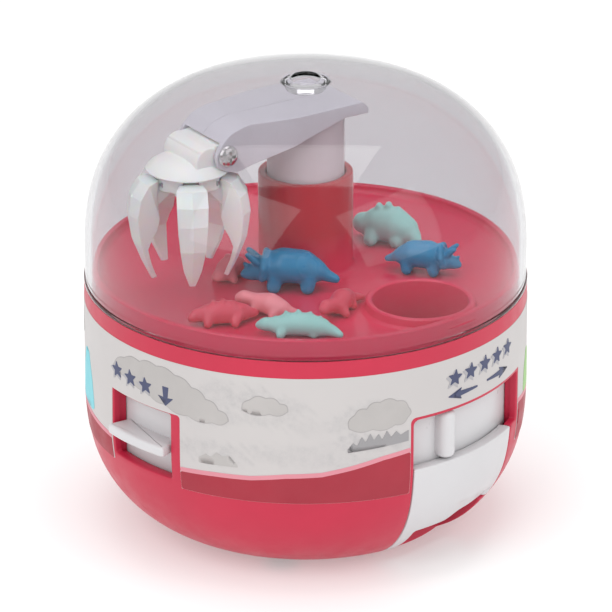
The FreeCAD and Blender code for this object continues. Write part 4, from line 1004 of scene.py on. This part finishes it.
def dome_outline(inset, dimple):
    """Upper half of the dome's profile at a depth in its wall, from the foot up to the dimple."""
    side_x = CASE_RADIUS - SIDE_CURVE
    side_z = SEAM + DOME_STRAIGHT
    first = math.radians(12.9)
    second = math.radians(71.2)
    shoulder_x = side_x + (SIDE_CURVE - SHOULDER_CURVE) * math.cos(first)
    shoulder_z = side_z + (SIDE_CURVE - SHOULDER_CURVE) * math.sin(first)
    extra = shoulder_x / math.cos(second)
    crown_z = shoulder_z - extra * math.sin(second)
    crown = SHOULDER_CURVE + extra - inset
    path = [(CASE_RADIUS - inset, SEAM + DOME_STRAIGHT * step / 5) for step in range(5)]
    path += [(side_x + (SIDE_CURVE - inset) * math.cos(first * step / 8),
              side_z + (SIDE_CURVE - inset) * math.sin(first * step / 8))
             for step in range(8)]
    for step in range(30):
        angle = first + (second - first) * step / 30
        path.append((shoulder_x + (SHOULDER_CURVE - inset) * math.cos(angle),
                     shoulder_z + (SHOULDER_CURVE - inset) * math.sin(angle)))
    last = math.acos(dimple / crown)
    for step in range(25):
        angle = second + (last - second) * step / 24
        path.append((crown * math.cos(angle), crown_z + crown * math.sin(angle)))
    return path


def dome():
    outer = dome_outline(0.3, 4.8)
    inner = dome_outline(2.1, 6.6)
    top = outer[-1][1]
    low = top - 2.8
    lip = [(4.45, top - 0.12), (4.25, top - 0.45), (4.15, top - 1.0), (4.05, low + 0.5), (3.75, low + 0.12),
           (3.2, low), (0, low)]
    under = [(0, low - 1.8), (4.6, low - 1.8), (5.3, low - 1.6), (5.8, low - 1.1), (6.1, inner[-1][1] - 0.25)]
    foot = [(CASE_RADIUS - 2.1, SEAM), (62.3, SEAM), (62.5, SEAM + 0.2), (62.5, SEAM + 1.2),
            (62.35, SEAM + 1.4), (62.2, SEAM + 1.5)]
    outline = foot + outer[1:] + lip + under + inner[::-1][:-1]
    lathe("dome_shell", outline, DOME_CLEAR, "cover", ["dome"], segments=192, crease=50)


dome()


# ---------------------------------------------------------------- tray, column and inner pieces

CHUTE = at_bearing(44.5, 45)


def play_tray():
    outline = [
        (10.9, 72.9), (30, 72.9), (58.5, 72.9), (58.5, 69.3), (60.3, 69.3), (60.3, 76.8), (60.05, 77.15),
               (58.75, 77.15),
        (58.5, 76.8), (58.5, 76.4), (58.2, 75.6), (57.6, 75.0), (56.8, 74.7), (44, 74.7), (30, 74.7),
               (15.2, 74.7), (14.3, 75.0),
        (13.6, 75.7), (13.3, 76.8), (13.3, 103.0), (13.1, 103.4), (12.8, 103.5), (11.7, 103.5), (11.4, 103.4),
        (11.25, 103.1), (11.25, 75.4), (10.9, 75.4)]
    tray = lathe("play_tray_floor", outline, TRAY_RED, None, segments=192)
    cutter = lathe("chute_cutter", [(0, 60), (13.6, 60), (13.6, 90), (0, 90)], TRAY_RED, None, centre=CHUTE,
                   segments=96)
    carved_by(tray, cutter)
    finish_mesh(tray.data, TRAY_RED, 32)
    settle(tray, "case", ["play_tray"])
    ring = [(13.1, 66), (15.1, 66), (15.1, 74.2), (16.6, 74.72), (15.9, 74.9), (15.35, 75.4), (15.1, 76.6),
            (14.95, 77.2), (14.5, 77.5), (13.7, 77.5), (13.25, 77.2), (13.1, 76.6)]
    lathe("play_tray_chute", ring, TRAY_RED, "case", centre=CHUTE, segments=96)
    for number, bearing in enumerate(WELL_BEARINGS):
        x, y = at_bearing(39.5, bearing)
        post = [(1.2, 13.8), (3.2, 13.8), (3.2, 71), (4.2, 73), (0, 73), (0, 25.2), (1.2, 25.2)]
        lathe("play_tray_post_%d" % number, post, TRAY_RED, "case", centre=(x, y), segments=40)


play_tray()


def column():
    outline = rounded([(2.06, 35.6), (7, 35.6), (7, 36.35), (6.2, 36.35), (6.2, 37.85), (7, 37.85), (7, 40.3),
                       (10.8, 40.3), (10.8, 120.3), (9.4, 120.3), (9.4, 47.5), (2.06, 47.5)], 0.25, 3)
    post = lathe("column_post", outline, COLUMN_WHITE_PAINTED_REFLECTION, None, segments=128)
    slot_shapes = []
    for side in (-1, 1):
        loop = [(-1.56, 119.0), (-1.1, 117.9), (0, 117.44), (1.1, 117.9), (1.56, 119.0), (1.56, 121.5),
                (-1.56, 121.5)]
        points, faces = prism(loop, 7.0 * side if side > 0 else -10.2, 10.2 if side > 0 else -7.0)
        slot_shapes.append(laid((points, faces), SIDEWAYS, ARM_TURN))
    cutter = piece("column_cutter", *joined(slot_shapes), COLUMN_WHITE_PAINTED_REFLECTION, None)
    carved_by(post, cutter)
    finish_mesh(post.data, COLUMN_WHITE_PAINTED_REFLECTION, 32)
    settle(post, "mast", ["column"])


column()


# ---------------------------------------------------------------- arm

def arm():
    side = [(-12.5, 49.5, 0.3), (-12.5, 51.2, 1.5), (-10.4, 53, 2.2), (26.0, 53, 9), (31.2, 51.6, 5),
            (34.3, 48.9, 3.5), (36.0, 45.6, 2.5), (35.2, 42.6, 1.6), (32.8, 41.3, 1.2), (28.6, 40.4, 3),
            (-5.0, 49.6, 3)]
    plan = [(-14, -12.7, 0), (11, -12.7, 14), (24.5, -10.1, 10), (40, -9.9, 0), (40, 9.9, 0),
            (24.5, 10.1, 10), (11, 12.7, 14), (-14, 12.7, 0)]
    room_side = [(-11.1, 36), (-11.1, 50.4), (-9.4, 51.6), (26.1, 51.6), (30.8, 50.5), (32.7, 49.2),
                 (46, 49.2), (46, 36)]
    room_plan = [(-15, -11.3), (12, -11.3), (25, -8.6), (48, -8.6), (48, 8.6), (25, 8.6), (12, 11.3),
                 (-15, 11.3)]

    def carved(name, side_loop, plan_loop, wide):
        body = piece(name, *laid(prism(side_loop, -wide, wide), SIDEWAYS), ARM_WHITE, None)
        cutter = piece(name + "_plan", *prism(plan_loop, 30, 60), ARM_WHITE, None)
        return carved_by(body, cutter, "INTERSECT")

    hull = carved("arm_hull", rounded(side, 0.5, 6), rounded(plan, 0.5, 6), 20)
    edge = hull.modifiers.new("edge", "BEVEL")
    edge.width = 2.4 * MM
    edge.segments = 5
    edge.limit_method = "ANGLE"
    edge.angle_limit = math.radians(42)
    edge.use_clamp_overlap = True
    applied(hull)
    room = carved("arm_room", room_side, room_plan, 30)
    carved_by(hull, room)
    extras = []
    ear = rounded([(-7.9, 46), (-7.9, 52), (3, 52), (3, 46.4), (1.6, 44.9), (-1.6, 44.9), (-3, 46)], 0.6, 3)
    for low, high in ((3.0, 4.4), (-4.4, -3.0)):
        extras.append(laid(prism(ear, low, high), SIDEWAYS))
    circle = [(math.cos(math.pi * step / 12), math.sin(math.pi * step / 12)) for step in range(24)]
    for x, z, radius, low, high in ((-6.6, 47.5, 1.3, -4, 4), (15, 49.3, 2.2, -11.6, 11.6)):
        loop = [(x + radius * c, z + radius * s) for c, s in circle]
        extras.append(laid(prism(loop, low, high), SIDEWAYS))
    halves = {}
    for name, low, high in (("arm_near", -0.05, -30), ("arm_far", 0.05, 30)):
        half = hull.copy()
        half.data = hull.data.copy()
        half.name = name + "_cover"
        bpy.context.scene.collection.objects.link(half)
        block = piece(name + "_block", *prism([(-40, low), (60, low), (60, high), (-40, high)], 20, 80),
                      ARM_WHITE, None)
        halves[name] = carved_by(half, block, "INTERSECT")
    bpy.data.objects.remove(hull)
    for name, half in halves.items():
        finish_mesh(half.data, ARM_WHITE, 30)
        turned = Matrix.Rotation(math.radians(ARM_TURN), 4, "Z")
        half.data.transform(Matrix.Translation((0, 0, SEAM * MM)) @ turned)
        node = "arm_near_shell" if name == "arm_near" else "arm_far_shell"
        settle(half, "boom", [node])
    inner_points, inner_faces = joined(extras)
    piece("arm_inner_ears", moved(inner_points, ARM_TURN, (0, 0, SEAM)), inner_faces, ARM_WHITE, "boom")


arm()


def cross_screw(name, head, rise, shank, length, place_at, material, body, nodes):
    """A pan-head screw: a domed head with a cross recess, turned about its own axis and then placed."""
    outline = [(0, rise), (head * 0.45, rise * 0.97), (head * 0.75, rise * 0.82), (head * 0.94, rise * 0.5),
               (head, rise * 0.2), (head * 0.97, 0), (shank, 0), (shank, -length + 1), (shank * 0.4, -length),
               (0, -length)]
    screw = lathe(name, outline, material, None, segments=48)
    arms = []
    for turn in (0, 90):
        bar = [(-head * 0.58, -0.38), (head * 0.58, -0.38), (head * 0.58, 0.38), (-head * 0.58, 0.38)]
        points, faces = prism(bar, rise * 0.35, rise + 1)
        arms.append((moved(points, turn), faces))
    cutter = piece(name + "_cutter", *joined(arms), material, None, weld=False)
    carved_by(screw, cutter, crossing=True)
    finish_mesh(screw.data, material, 32)
    screw.data.transform(place_at)
    return settle(screw, body, nodes)


def in_arm(x, y, z, tilt):
    """Placement in the arm: at x, y, z along it, tilted about its length's level normal."""
    lay = Matrix.Rotation(math.radians(tilt), 4, "X")
    spot = Matrix.Translation((x * MM, y * MM, z * MM))
    turn = Matrix.Rotation(math.radians(ARM_TURN), 4, "Z")
    return Matrix.Translation((0, 0, SEAM * MM)) @ turn @ spot @ lay


cross_screw("wrist_screw_head", 3.0, 1.6, 1.5, 19.4, in_arm(32.3, 10.0, 45.7, -90), CHROME, "boom",
            ["wrist_screw"])
cross_screw("arm_screw_head", 2.4, 1.5, 1.1, 16.0, in_arm(15, -10.5, 49.3, 90), STEEL, "boom", ["arm_screw"])
for number, bearing in enumerate(WELL_BEARINGS):
    x, y = at_bearing(WELL_REACH, bearing)
    spot = Matrix.Translation((x * MM, y * MM, 11.4 * MM)) @ Matrix.Rotation(math.pi, 4, "X")
    cross_screw("case_screw_%d" % number, 2.8, 1.8, 1.2, 12.0, spot, STEEL, "case", ["case_screws"])
for number, bearing in enumerate(DECK_POST_BEARINGS):
    x, y = at_bearing(DECK_POST_REACH, bearing)
    spot = Matrix.Translation((x * MM, y * MM, 40 * MM))
    cross_screw("deck_screw_%d" % number, 2.6, 1.6, 1.2, 9.0, spot, STEEL, "case", ["deck_screws"])


# ---------------------------------------------------------------- claw

CLAW = at_bearing(CLAW_REACH, ARM_BEARING)


def finger(number):
    """One finger: a faceted blade with a raised ridge down its outer face, on a narrow web."""
    bearing = -66 + 72 * number
    stations = [
        ((10.3, 39.5), (10.3, 34.6), 3.2, 0.3), ((13.9, 38.7), (9.9, 28.4), 4.2, 0.9),
                ((16.6, 34.8), (10.8, 25.2), 4.3, 1.1),
        ((17.5, 29.6), (12.2, 22.6), 4.0, 1.1), ((16.4, 22.0), (13.2, 19.6), 3.5, 0.9),
                ((13.9, 15.6), (12.0, 15.2), 2.5, 0.6),
        ((11.3, 10.2), (9.9, 10.4), 0.8, 0.2)]
    points = []
    for (outer_x, outer_z), (inner_x, inner_z), half, ridge in stations:
        edge_x = outer_x - ridge
        points += [(outer_x, 0, outer_z), (edge_x, half, outer_z - 0.15), (inner_x, half * 0.86, inner_z),
                   (inner_x, 0, inner_z), (inner_x, -half * 0.86, inner_z), (edge_x, -half, outer_z - 0.15)]
    faces = [tuple(range(6)), tuple(range(len(points) - 1, len(points) - 7, -1))]
    for station in range(len(stations) - 1):
        for corner in range(6):
            after = (corner + 1) % 6
            faces.append((station * 6 + corner, station * 6 + after, station * 6 + 6 + after,
                          station * 6 + 6 + corner))
    web = rounded([(4.7, 37.1), (5.6, 37.0), (5.6, 35.0), (9.5, 31.6), (12.6, 30.6), (14.6, 32.2),
                   (13.4, 37.8), (7.0, 39.2), (4.7, 38.7)], 0.4, 3)
    web_shape = laid(prism(web, -1.9, 1.9, 0.3, 2), SIDEWAYS)
    name = "claw_finger_%d" % (number + 1)
    all_points, all_faces = joined([(points, faces), web_shape])
    blade = piece(name + "_blade", moved(all_points, bearing - 90, (*CLAW, SEAM)), all_faces, CLAW_MILK, None,
                  crease=12)
    soften = blade.modifiers.new("soften", "BEVEL")
    soften.width = 0.35 * MM
    soften.segments = 2
    soften.limit_method = "ANGLE"
    soften.angle_limit = math.radians(14)
    soften.harden_normals = False
    applied(blade)
    for polygon in blade.data.polygons:
        polygon.use_smooth = True
    settle(blade, "finger_%d" % (number + 1), [name])


for finger_number in range(5):
    finger(finger_number)


def claw_hub():
    shapes = []
    petal = []
    for step in range(40):
        bearing = 360 * step / 40
        near = min(abs((bearing - (-66 + 72 * k) + 180) % 360 - 180) for k in range(5))
        reach = 9.8 - 1.3 * min(1.0, (near / 36) ** 2)
        petal.append(at_bearing(reach, bearing))
    cap_points, cap_faces = prism(petal, 35.9, 41.0, 0.6, 3)
    shapes.append((moved(cap_points, 0, (*CLAW, SEAM)), cap_faces))
    brow, brow_faces = lathe("", [(0, 40.3), (11.2, 40.3), (11.5, 40.8), (10.6, 41.8), (8.6, 43.0),
                                  (6.0, 44.0), (0, 44.6)], None, None, segments=40,
                             build=False)
    shapes.append((moved(brow, 0, (*CLAW, SEAM)), brow_faces))
    circle = [(math.cos(math.pi * step / 20), math.sin(math.pi * step / 20)) for step in range(40)]
    for x, z, radius, half in ((37.0, 44.0, 4.3, 8.25), (32.3, 45.7, 3.0, 8.25)):
        loop = [(x + radius * c, z + radius * s) for c, s in circle]
        points, faces = laid(prism(loop, -half, half, 0.5, 3), SIDEWAYS, ARM_TURN, (0, 0, SEAM))
        shapes.append((points, faces))
    tie = rounded([(31.5, 43.2), (37, 40.6), (40.8, 42), (40.0, 47.6), (37, 48.2), (32.2, 48.6)], 0.6)
    shapes.append(laid(prism(tie, -8.0, 8.0, 0.5, 3), SIDEWAYS, ARM_TURN, (0, 0, SEAM)))
    hub = piece("claw_hub_body", *joined(shapes), CLAW_MILK, None)
    cutters = []
    for number in range(5):
        points, faces = prism([(4.2, -2.2), (20, -2.2), (20, 2.2), (4.2, 2.2)], 33, 40.4)
        cutters.append((moved(points, -66 + 72 * number - 90, (*CLAW, SEAM)), faces))
    well = lathe("", [(0, 30), (5.8, 30), (5.8, 38.3), (0, 38.3)], None, None, segments=40, build=False)
    cutters.append((moved(well[0], 0, (*CLAW, SEAM)), well[1]))
    cutter = piece("hub_cutter", *joined(cutters), CLAW_MILK, None, weld=False)
    carved_by(hub, cutter, crossing=True)
    finish_mesh(hub.data, CLAW_MILK, 30)
    settle(hub, "claw", ["claw_hub"])


claw_hub()


# ---------------------------------------------------------------- prizes

def animal(name, node, material, chains, x, y, heading, voxel=0.34):
    """A small moulded animal: chains of (x, y, z, radius) blended into one skin."""
    balls = []
    for chain in chains:
        for first, last in zip(chain, chain[1:]):
            length = math.dist(first[:3], last[:3])
            parts = max(2, math.ceil(length / (0.35 * min(first[3], last[3]) + 0.15)))
            for part in range(parts + 1):
                share = part / parts
                spot = [a + (b - a) * share for a, b in zip(first, last)]
                spot[3] *= 1.2
                balls.append(spot)
    work = bmesh.new()
    for bx, by, bz, radius in balls:
        bmesh.ops.create_icosphere(work, subdivisions=3, radius=radius * MM,
                                   matrix=Matrix.Translation((bx * MM, by * MM, bz * MM)))
    mesh = bpy.data.meshes.new(name)
    work.to_mesh(mesh)
    work.free()
    thing = bpy.data.objects.new(name, mesh)
    bpy.context.scene.collection.objects.link(thing)
    blend = thing.modifiers.new("blend", "REMESH")
    blend.mode = "VOXEL"
    blend.voxel_size = voxel * MM
    calm = thing.modifiers.new("calm", "SMOOTH")
    calm.factor = 0.6
    calm.iterations = 14
    applied(thing)
    finish_mesh(thing.data, material, 60, weld=False)
    floor_z = SEAM + 3.2
    low = min(vertex.co.z for vertex in thing.data.vertices)
    turn = Matrix.Rotation(math.radians(heading), 4, "Z")
    thing.data.transform(Matrix.Translation((x * MM, y * MM, floor_z * MM - low)) @ turn)
    return settle(thing, "case", [node])


def horned(size, tall, lie=0.0):
    """A horned, frilled, four-legged animal: head towards +X, size long, tall high."""
    s = size / 27.0
    h = tall / 13.0
    trunk = [(-7.5 * s, 0, 5.6 * h, 2.7 * h), (-3.5 * s, 0, 6.7 * h, 4.1 * h), (1.5 * s, 0, 6.9 * h, 4.3 * h),
             (4.5 * s, 0, 6.6 * h, 3.6 * h)]
    tail = [(-7.0 * s, 0, 6.6 * h, 2.4 * h), (-10.5 * s, lie, 4.2 * h, 1.5 * h),
            (-13.0 * s, lie * 1.4, 3.2 * h, 1.1 * h)]
    head = [(5.0 * s, 0, 6.6 * h, 2.6 * h), (8.5 * s, 0, 5.2 * h, 2.4 * h), (11.0 * s, 0, 4.3 * h, 1.7 * h),
            (12.4 * s, 0, 4.0 * h, 1.1 * h)]
    frill = []
    for side in (-1, 1):
        frill.append([(6.2 * s, 0, 10.9 * h, 0.95 * h), (6.5 * s, side * 2.9 * h, 10.1 * h, 0.95 * h),
                      (6.9 * s, side * 4.6 * h, 7.4 * h, 0.95 * h),
                      (7.3 * s, side * 3.9 * h, 4.4 * h, 0.95 * h), (7.4 * s, 0, 2.6 * h, 0.9 * h)])
        frill.append([(8.0 * s, side * 1.4 * h, 7.4 * h, 1.1 * h),
                      (9.8 * s, side * 2.0 * h, 9.2 * h, 0.95 * h),
                      (11.4 * s, side * 2.2 * h, 10.6 * h, 0.75 * h)])
    horn = [(11.4 * s, 0, 6.0 * h, 0.9 * h), (12.4 * s, 0, 7.2 * h, 0.55 * h)]
    legs = []
    for leg_x in (3.8, -5.6):
        for side in (-1, 1):
            legs.append([(leg_x * s, side * 1.9 * h, 6.0 * h, 2.0 * h),
                         (leg_x * s, side * 2.7 * h, 2.4 * h, 1.7 * h),
                         ((leg_x + 0.3) * s, side * 2.7 * h, 1.5 * h, 1.75 * h)])
    return [trunk, tail, head, horn] + frill + legs


def plated(size, tall, bend=0.0):
    """A plated, round-backed animal lying low: head towards +X."""
    s = size / 22.0
    h = tall / 8.0
    trunk = [(-6 * s, bend, 3.2 * h, 2.5 * h), (-2 * s, bend * 0.4, 3.8 * h, 3.2 * h),
             (2.5 * s, 0, 3.7 * h, 3.1 * h), (5.5 * s, 0, 3.3 * h, 2.3 * h)]
    tail = [(-6 * s, bend, 3.2 * h, 2.2 * h), (-9 * s, bend * 1.8, 2.4 * h, 1.5 * h),
            (-10.6 * s, bend * 2.6, 1.8 * h, 1.0 * h)]
    head = [(5.5 * s, 0, 3.6 * h, 2.0 * h), (8.4 * s, -bend * 0.6, 3.4 * h, 1.9 * h),
            (10.0 * s, -bend, 2.8 * h, 1.2 * h)]
    plates = []
    for plate_x, rise in ((-5.6, 6.0), (-3.0, 7.6), (0.2, 8.6), (3.4, 8.2), (6.2, 6.4)):
        for side in (-0.7, 0.7):
            plates.append([(plate_x * s, 0, 4.6 * h, 1.1 * h),
                           (plate_x * s - 0.3, side, (rise - 0.6) * h, 0.62 * h)])
    legs = []
    for leg_x in (4.0, -4.6):
        for side in (-1, 1):
            legs.append([(leg_x * s, side * 2.0 * h, 3.0 * h, 1.5 * h),
                         ((leg_x + 0.8) * s, side * 3.3 * h, 1.3 * h, 1.25 * h)])
    return [trunk, tail, head] + plates + legs


def necked(size, tall, bend=0.0):
    """A long-necked animal lying on its belly: head towards +X."""
    s = size / 20.0
    h = tall / 8.0
    trunk = [(-5 * s, 0, 3.2 * h, 2.4 * h), (-1 * s, 0, 3.8 * h, 3.1 * h), (2.5 * s, 0, 3.6 * h, 2.6 * h)]
    neck = [(3 * s, 0, 4.0 * h, 2.0 * h), (5.6 * s, bend * 0.5, 4.6 * h, 1.8 * h),
            (7.4 * s, bend, 5.0 * h, 1.9 * h), (8.8 * s, bend * 1.2, 4.4 * h, 1.5 * h)]
    tail = [(-5 * s, 0, 3.0 * h, 2.0 * h), (-8 * s, -bend, 2.0 * h, 1.3 * h),
            (-9.8 * s, -bend * 2, 1.5 * h, 0.9 * h)]
    legs = []
    for leg_x in (2.6, -4.0):
        for side in (-1, 1):
            legs.append([(leg_x * s, side * 1.8 * h, 2.8 * h, 1.5 * h),
                         ((leg_x + 0.6) * s, side * 3.0 * h, 1.3 * h, 1.25 * h)])
    return [trunk, neck, tail] + legs


animal("prize_horned_blue", "prize_blue_standing", PRIZE_BLUE, horned(27, 12.8), -4.6, -18.6, 176)
animal("prize_horned_blue_right", "prize_blue_right", PRIZE_BLUE, horned(22, 10.2, 1.0), 33.0, -6.5, -14)
animal("prize_plated_mint_back", "prize_mint_back", PRIZE_MINT, plated(19, 11.0, 1.6), 23.4, 17.5, 168)
animal("prize_plated_mint_front", "prize_mint_front", PRIZE_MINT, plated(23, 6.8, 1.8), -2.0, -50.0, 184)
animal("prize_necked_pink", "prize_pink_light", PRIZE_PINK, necked(18, 6.8, 1.2), -10.5, -36.0, 150)
animal("prize_plated_rose", "prize_rose_left", PRIZE_ROSE, plated(19, 6.8, -1.4), -22.5, -42.5, 182)
animal("prize_necked_rose", "prize_rose_middle", PRIZE_ROSE, necked(19, 6.8, -1.6), 9.6, -34.5, 250)
animal("prize_plated_pink", "prize_pink_back", PRIZE_PINK, plated(14, 6.8, 1.0), -21.5, -10.2, 250)


# ---------------------------------------------------------------- CAD nodes that are shown as they are

for name, material in (
        ("chute_duct", DUCT_RED), ("gear_deck", INNER_GREY), ("idler_pins", STEEL), ("column_clip", STEEL),
        ("push_rod", INNER_GREY), ("rocker_arm", INNER_GREY), ("rocker_pin", STEEL), ("grab_spring", STEEL),
        ("arm_pivot_pin", STEEL), ("claw_plunger", CLAW_MILK), ("finger_pins", STEEL)):
    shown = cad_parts[name]
    shown.data.materials.clear()
    shown.data.materials.append(material)


# ---------------------------------------------------------------- floor, light and camera

def stage():
    work = bmesh.new()
    angles = [math.pi * step / 24 for step in range(48)]
    corners = [work.verts.new((8 * math.cos(angle), 8 * math.sin(angle), -0.00005)) for angle in angles]
    work.faces.new(corners)
    mesh = bpy.data.meshes.new("floor")
    work.to_mesh(mesh)
    work.free()
    floor = bpy.data.objects.new("floor", mesh)
    paper = bpy.data.materials.new("floor_paper")
    paper.use_nodes = True
    for socket, value in (("Base Color", (0.68, 0.68, 0.68, 1)), ("Emission Color", (1, 1, 1, 1)),
                          ("Emission Strength", 0.3), ("Roughness", 0.9)):
        paper.node_tree.nodes["Principled BSDF"].inputs[socket].default_value = value
    mesh.materials.append(paper)
    bpy.context.scene.collection.objects.link(floor)


stage()


def soft_light(name, power, size, place_at, look_at):
    lamp = bpy.data.lights.new(name, "AREA")
    lamp.energy = power
    lamp.shape = "RECTANGLE"
    lamp.size, lamp.size_y = size
    holder = bpy.data.objects.new(name, lamp)
    holder.location = place_at
    holder.rotation_mode = "QUATERNION"
    holder.rotation_quaternion = (Vector(look_at) - Vector(place_at)).to_track_quat("-Z", "Y")
    bpy.context.scene.collection.objects.link(holder)


soft_light("key", 7.5, (1.2, 1.2), (-0.75, -0.85, 0.95), (0, 0, 0.07))
soft_light("fill", 4.5, (1.1, 1.1), (0.9, -0.7, 0.7), (0, 0, 0.07))
soft_light("top", 5.0, (0.9, 0.9), (0, 0.1, 1.3), (0, 0, 0.07))

world = bpy.data.worlds.new("studio")
world.use_nodes = True
world.node_tree.nodes["Background"].inputs["Color"].default_value = (1.0, 1.0, 1.0, 1)
world.node_tree.nodes["Background"].inputs["Strength"].default_value = 0.78
bpy.context.scene.world = world
bpy.context.scene.view_settings.view_transform = "Standard"

camera = bpy.data.cameras.new("camera")
camera.lens = 312
camera.sensor_width = 36
eye = bpy.data.objects.new("camera", camera)
rise = math.radians(22.8)
aim = Vector((0.0001, 0, (SEAM - 9.6) * MM))
eye.location = aim + Vector((0, -1.5 * math.cos(rise), 1.5 * math.sin(rise)))
eye.rotation_mode = "QUATERNION"
eye.rotation_quaternion = (aim - eye.location).to_track_quat("-Z", "Y")
bpy.context.scene.collection.objects.link(eye)
bpy.context.scene.camera = eye
